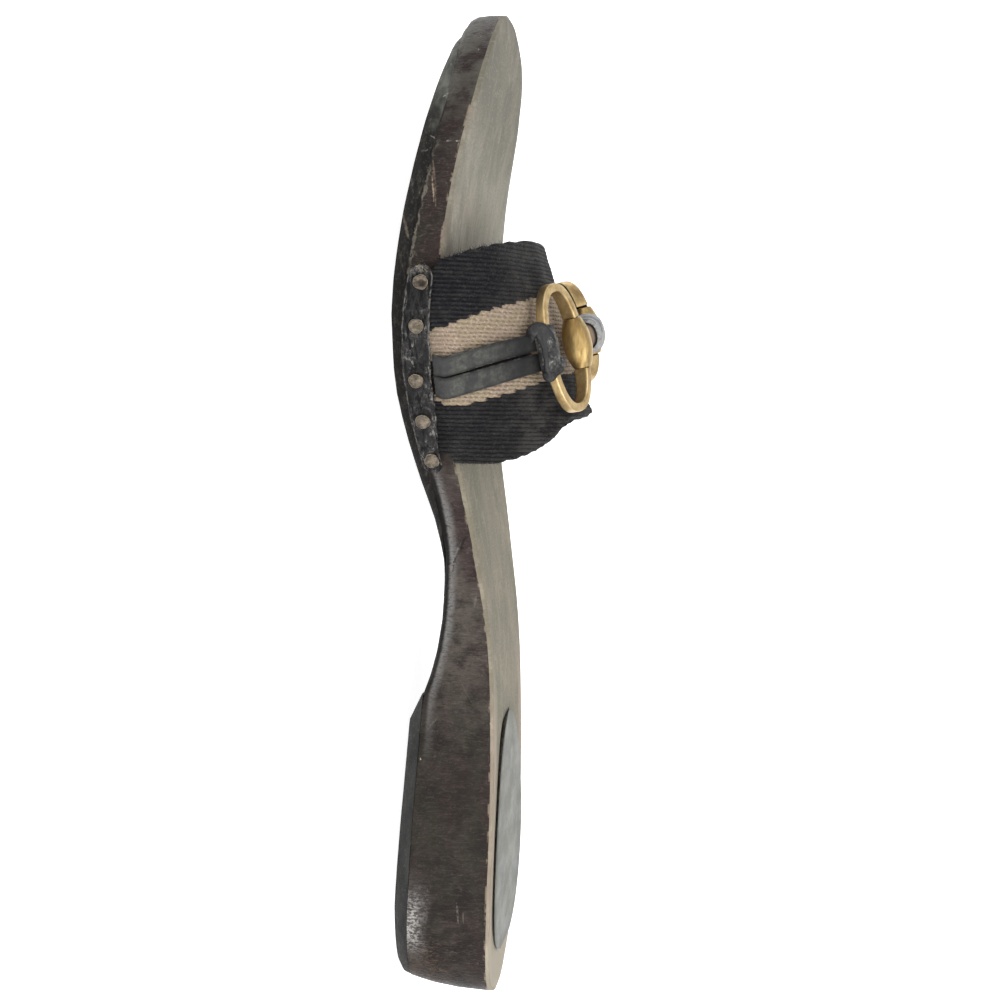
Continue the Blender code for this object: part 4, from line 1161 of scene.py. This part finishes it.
def make_rand(name, side, node):
    def place(u, v):
        rear, front = RAND["y"][0], RAND["y"][-1]
        y = blend(rear, front, u)
        low = smooth(y, RAND["y"], RAND["low"]) + 0.15 * ripple(y / 6, 0 * y, 21)
        high = smooth(y, RAND["y"], RAND["high"]) + 0.25 * ripple(y / 7, 0 * y, 22)
        z = blend(low, high, v)
        near = np.min([np.hypot(y - tack_y, z - tack_z)
                       for tack_y, tack_z in zip(TACK_PLACES["y"], TACK_PLACES["z"])], 0)
        dent = 0.35 * hill((np.maximum(near - max(TACK_HEAD["radius"]), 0), 1.3))
        reach = np.minimum((front - y) / 2.4, (y - rear) / 1.6)
        tip = np.sqrt(1 - (1 - np.clip(reach, 0.02, 1)) ** 2)
        middle = (low + high) / 2
        z = blend(middle, z, blend(0.35, 1, tip))
        rounding = 0.3 * fall(np.minimum(v, 1 - v) * (high - low), 0.7)
        crumple = 0.3 * fade(y, 145, 138) + 0.22 * fade(y, 183, 186)
        height = RAND_FACE - dent - rounding + 0.12 * ripple(y / 8, z / 4, 24)
        height = height + ripple(y / 2.6, z / 2.2, 23) * crumple
        return np.stack([*wall_point(y + RAND_SHIFT[side], side, height), z], -1)

    def marks(points, u, v):
        return {"edge": np.minimum(v, 1 - v) * RAND_EDGE, "length": u}

    piece = laid_grid(name, 200, 34, place, marks)
    thickened(piece, RAND_SHEET, (side, 0, 0))
    set_off(piece, "rand", "rand_leather", node)


def make_tack(name, side, number, node):
    y, z = TACK_PLACES["y"][number] + RAND_SHIFT[side], TACK_PLACES["z"][number]
    near = np.array([*wall_point(y, side, RAND_FACE), z])
    facing = unit(np.array([*wall_point(y, side, RAND_FACE + 1), z]) - near)
    right = unit(np.cross((0, 0, 1), facing))
    up = np.cross(facing, right)
    last = len(TACK_HEAD["radius"]) - 1

    def bowl(u, v):
        """The foremost tack's head is split open; the others are whole."""
        if number:
            return np.zeros_like(u)
        reach = np.interp(v * last, range(last + 1), TACK_HEAD["radius"])
        a, b = reach * np.cos(u * math.tau), reach * np.sin(u * math.tau)
        return (v > 0.35) * np.exp(-(((a - 0.35) / 0.8) ** 2 + (b - 0.3) ** 2) ** 2)

    def place(u, v):
        along = np.interp(v * last, range(last + 1), TACK_HEAD["along"])
        radius = np.interp(v * last, range(last + 1), TACK_HEAD["radius"])
        turn = u * math.tau
        uneven = 0.03 * np.sin(3 * turn + number) + 0.02 * np.sin(5 * turn + number * 2)
        radius = radius * (1 + uneven)
        a, b = radius * np.cos(turn), radius * np.sin(turn)
        hammered = 0.05 * ripple(a / 1.6 + number, b / 1.6, 31) * (along > 0.4)
        along = along + hammered - 0.6 * bowl(u, v)
        return carried(near + facing * (GAP - 0.25), (right, a), (up, b), (facing, along))

    def marks(points, u, v):
        return {"edge": np.clip(v * last - 2, 0, 4) * 0.45, "hollow": bowl(u, v)}

    piece = solid_grid(name, 40, 24, place, marks)
    set_off(piece, "tack", "tack_metal", node, sharp=50)


# ---- bit
TURN = np.array(Matrix.Rotation(BIT_YAW, 3, "Z") @ Matrix.Rotation(BIT_ROLL, 3, "Y")
                @ Matrix.Rotation(-BIT_PITCH, 3, "X"))
LINK_DIR, TOE_DIR, UP_DIR = TURN[:, 0], TURN[:, 1], TURN[:, 2]


def barrel_centre(side):
    rise = OUTER_RISE if side == OUTER else 0
    return BIT_CENTRE + LINK_DIR * side * BARREL_SPREAD + UP_DIR * rise


def ring_place(side, turn):
    """The middle of the ring's bar, the ring's centre and the direction of its depth."""
    droop = RING_DROOP[side]
    out = LINK_DIR * side * math.cos(droop) - UP_DIR * math.sin(droop)
    centre = barrel_centre(side) + out * RING_WIDTH / 2 - TOE_DIR * RING_SLIDE[side]
    a, b = squared(turn, 2 / RING_SQUARENESS)
    point = carried(centre, (out, -a * RING_WIDTH / 2), (TOE_DIR, b * RING_LENGTH[side] / 2))
    return point, centre, np.cross(out, TOE_DIR) * side


def ring_frame(side, turn):
    """The bar's middle, the directions of its width and depth, and half its depth."""
    point, centre, depth = ring_place(side, turn)
    tangent = unit(ring_place(side, turn + 0.01)[0] - ring_place(side, turn - 0.01)[0])
    normal = unit(np.cross(tangent, depth))
    flip = np.sign(((point - centre) * normal).sum(-1, keepdims=True))
    taper = ((1 + np.cos(turn)) / 2) ** 1.5
    half = blend(RING_DEPTH_THIN, RING_DEPTH_THICK, taper) / 2
    return point, normal * flip, depth, half


def place_ring(side):
    barrel_end = BARREL_PROFILE["along"][-1] + RING_SPLIT
    toe_end, heel_end = (
        math.asin((reach / (RING_LENGTH[side] / 2)) ** (RING_SQUARENESS / 2))
        for reach in (barrel_end + RING_SLIDE[side], barrel_end - RING_SLIDE[side])
    )

    def place(u, v):
        turn = blend(toe_end, math.tau - heel_end, v)
        point, normal, depth, half = ring_frame(side, turn)
        a, b = squared(u * math.tau, RING_ARRIS)
        return carried(point, (normal, a * RING_BAR / 2), (depth, b * half))

    return place


def place_turned(profile, axis, centre):
    """A lathe profile with flat ends, about an axis through a centre in mm."""
    side = unit(np.cross(axis, (0.3, 0.1, 1)))
    up = np.cross(axis, side)
    along, radius = np.array(profile["along"]), np.array(profile["radius"])

    def place(u, v):
        at = blend(along[0], along[-1], np.clip((v - CAP_SHARE) / (1 - 2 * CAP_SHARE), 0, 1))
        reach = np.interp(at, along, radius) if len(along) == 6 else smooth(at, along, radius)
        cap = np.clip(np.minimum(v, 1 - v) / CAP_SHARE, 0, 1)
        reach = np.where(cap < 1, np.maximum(reach * cap, 0.001), reach)
        reach = reach - CAP_ARRIS * (cap == 1) * (np.abs(at - along[0]) < 1e-6)
        turn = u * math.tau
        return carried(centre, (axis, at), (side, reach * np.cos(turn)), (up, reach * np.sin(turn)))

    return place


def place_hitch(side):
    def place(u, v):
        share = v * 2 - 1
        turn = HITCH_MIDDLE + share * HITCH_HALF_ANGLE
        point, normal, depth, half = ring_frame(side, turn)
        around = u * math.tau
        a, b = squared(around, 0.62)
        rounding = 1 - fall(1 - np.abs(share), 0.16)
        grow = (1.05 + 0.15 * np.sin(share * 5 + around)) * rounding
        tall = half + GAP + np.where(b < 0, HITCH_SOLE_WALL * rounding, grow)
        return carried(point, (normal, a * (RING_BAR / 2 + GAP + grow)), (depth, b * tall))

    return place


def knot_marks(points, u, v):
    return {"edge": np.minimum(v, 1 - v) * FAR_IN, "length": v}


def keeper_along(v):
    return (np.interp(v, *KEEPER_WALK) - 0.5) * KEEPER_WIDTH


def packing(along):
    """0 at the mouths of the keeper and 1 where its rolled inner end fills it."""
    return fade(np.abs(along), KEEPER_WIDTH / 2 - 0.5, KEEPER_WIDTH / 2 - 1.5)


def place_keeper(u, v):
    turn = u * math.tau
    across, up = squared(turn, 2 / 2.4)
    outside = (v < KEEPER_TURN) | (v > KEEPER_CLOSE)
    along = keeper_along(v)
    lapped = 0.4 * fade(along, -2.2, -1.6) * outside
    worn_end = 0.28 * fall(KEEPER_WIDTH / 2 - np.abs(along), 0.5) * outside
    wave = 0.12 * ripple(along / 7, np.cos(turn), 51) * outside
    narrow = packing(along) * ~outside
    points = np.empty((len(u), 3))
    for chosen, size in ((outside, KEEPER_OUTSIDE), (~outside, KEEPER_BORE)):
        half_y, half_z = (blend(end, KEEPER_WAIST, narrow) for end in size["half"])
        y = across * (half_y + lapped - worn_end + wave)
        z = up * (half_z + lapped * (turn < math.pi) - worn_end + wave)
        shift = UP_DIR * size["over"] - TOE_DIR * size["behind"]
        ring = carried(BIT_CENTRE, (LINK_DIR, along), (shift, 1 - narrow),
                       (TOE_DIR, y), (UP_DIR, z))
        points[chosen] = ring[chosen]
    return points


def keeper_marks(points, u, v):
    bore = np.clip((v - 0.5) * 30, 0, 1) * np.clip((0.985 - v) * 60, 0, 1)
    packed = packing(keeper_along(v)) > 0.5
    # inside marks the open bore for its painted shade; flesh marks the rolled packing
    return {"edge": np.full_like(u, FAR_IN), "length": v, "inside": bore * ~packed,
            "flesh": bore * packed}


def make_rod(name, side):
    """The ring's bar where it runs through the barrel, dark so that it stands for the painted shade
    in the gaps at the barrel's ends.
    """
    def place(u, v):
        point, normal, depth, half = ring_frame(side, blend(-ROD_TURN, ROD_TURN, v))
        a, b = squared(u * math.tau, 0.4)
        return carried(point, (normal, a * ROD_HALF_BAR), (depth, b * half * ROD_DEPTH_SHARE))

    set_off(solid_grid(name, 28, 40, place), "core", "aged_brass", sharp=45)


def make_wrap(name, side):
    """The thong's turn over the ring and its tucked end."""
    point, normal, up, _ = ring_frame(side, np.array([HITCH_MIDDLE]))
    out = normal[0]
    for piece, finish, table in (("turn", "turn", WRAP_TURN), ("end", "knot", WRAP_END)):
        path, facing = [], []
        for n, t, d in zip(table["out"], table["toe"], table["up"]):
            path.append(point[0] + out * n + TOE_DIR * t + up * d)
            facing.append(unit(out * (n + 0.3) + up * (d + 1.2)))
        band = swept(f"{name}_{piece}", path, table["half_width"], table["half_height"],
                     facing, 24, 90)
        set_off(band, finish, "thong_leather")


def make_bit():
    for side, name in ((INNER, "medial"), (OUTER, "lateral")):
        ring = solid_grid(f"bit_ring_{name}", 36, 150, place_ring(side))
        set_off(ring, "brass", "aged_brass", f"ring_{name}", sharp=45)
        barrel = solid_grid(f"bit_barrel_{name}", 48, 60,
                            place_turned(BARREL_PROFILE, TOE_DIR, barrel_centre(side)))
        set_off(barrel, "barrel", "aged_brass", f"barrel_{name}", sharp=45)
        hitch = solid_grid(f"knot_{name}", 56, 48, place_hitch(side), knot_marks)
        set_off(hitch, "knot", "thong_leather", f"hitch_{name}")
        make_wrap(f"knot_{name}", side)
        make_rod(f"ring_bar_{name}", side)
    link = solid_grid("bit_bridge", 40, 50, place_turned(LINK_PROFILE, LINK_DIR, BIT_CENTRE))
    set_off(link, "brass", "aged_brass", "bit_link", sharp=45)
    keeper = solid_grid("keeper_loop", 64, 130, place_keeper, keeper_marks)
    set_off(keeper, "keeper", "keeper_leather", "bit_keeper", sharp=50)


def make_thong(name, side, row, node):
    column = {key: values[row] for key, values in THONGS.items()}

    def place(u, v):
        angle = blend(-THONG_FOOT, THONG_END_ANGLE, u)
        if side == OUTER:
            angle = math.pi - angle
        half = blend(column["width"], column["end_width"], u) / 2
        point, _, across, normal = web_frame(angle, blend(column["start"], column["end"], u))
        wide = (v * 2 - 1) * half
        height = GAP + THONG_THICKNESS + THONG_END_LIFT * u**4
        height = height - 0.35 * fall(half - np.abs(wide), 0.8)
        height = height + 0.1 * ripple(u * 5, v * 2, 41 + row)
        return carried(point, (normal, height), (across, wide))

    def marks(points, u, v):
        return {"edge": np.minimum(v, 1 - v) * column["width"], "length": u}

    piece = laid_grid(name, 110, 26, place, marks)
    thickened(piece, THONG_SHEET, (side, 0, 0.5))
    set_off(piece, "thong", "thong_leather", node)


# ---- assembly
make_wood()
make_treads()
make_footbed()
make_pad()
make_pad_edge()
make_strap()
make_fuzz()
for foot_side, side_name in ((INNER, "medial"), (OUTER, "lateral")):
    make_rand(f"leather_rand_{side_name}", foot_side, f"rand_{side_name}")
    for tack_number in range(5):
        make_tack(f"tack_head_{side_name}_{tack_number + 1}", foot_side, tack_number,
                  f"tack_{side_name}_{tack_number + 1}")
    for thong_row, thong_name in enumerate(THONGS["name"]):
        make_thong(f"ribbon_{side_name}_{thong_name}", foot_side, thong_row,
                   f"thong_{side_name}_{thong_name}")
make_bit()


# ---- stage
def make_stage():
    bpy.ops.object.select_all(action="DESELECT")
    bpy.ops.mesh.primitive_plane_add(size=60)
    floor = bpy.context.object
    floor.name = "studio_floor"
    f = Finish("studio_floor", Emission_Color=(1, 1, 1, 1), Emission_Strength=0.93)
    f.base = f.mix(f.noise(400), (206, 206, 206), (203, 203, 204))
    floor.data.materials.append(f.done(0.9))

    bpy.ops.mesh.primitive_cylinder_add(vertices=96, radius=10, depth=3.2, location=(0, 0, 1.4),
                                        end_fill_type="NOTHING")
    bpy.context.object.name = "studio_wall"
    bpy.ops.mesh.primitive_plane_add(size=40, location=(9, 0, 0), rotation=(0, math.pi / 2, 0))
    bpy.context.object.name = "studio_backdrop"
    for wall in (bpy.data.objects["studio_wall"], bpy.data.objects["studio_backdrop"]):
        wall.data.materials.append(f.material)

    world = bpy.data.worlds.new("studio")
    world.use_nodes = True
    sky = world.node_tree.nodes["Background"].inputs
    sky["Color"].default_value, sky["Strength"].default_value = (1, 1, 1, 1), 0.385
    bpy.context.scene.world = world

    sun = bpy.data.lights.new("overhead", "SUN")
    sun.energy, sun.angle = 2.5, math.radians(60)
    lamp = added("overhead", sun)
    lamp.rotation_euler = Vector((0.62, -0.1, -0.8)).to_track_quat("-Z", "Y").to_euler()
    for name, place, width, height, power in (
        ("low_softbox", (-0.62, -0.52, 0.13), 0.42, 0.18, 2.8),
        ("high_softbox", (-0.4, -0.5, 0.8), 0.3, 0.3, 2.5),
    ):
        light = bpy.data.lights.new(name, "AREA")
        light.shape = "RECTANGLE"
        light.size, light.size_y, light.energy = width, height, power
        lamp = added(name, light)
        lamp.location = place
        toward = Vector((0, 0, 0.02)) - Vector(place)
        lamp.rotation_euler = toward.to_track_quat("-Z", "Y").to_euler()


def make_camera():
    right = Vector((0.1381, 0.02146, 0.9902))
    up = Vector((0.06062, 0.99771, -0.03007))
    back = -Vector((0.98857, -0.06419, -0.13649))
    lens = bpy.data.cameras.new("view")
    lens.lens, lens.sensor_width = 65.99, 36
    lens.clip_start = 0.01
    view = added("view", lens)
    turn = Matrix((right, up, back)).transposed().to_4x4()
    view.matrix_world = Matrix.Translation((-0.4758, 0.0331, 0.0869)) @ turn
    bpy.context.scene.camera = view


make_stage()
make_camera()
bpy.context.scene.view_settings.view_transform = "Standard"
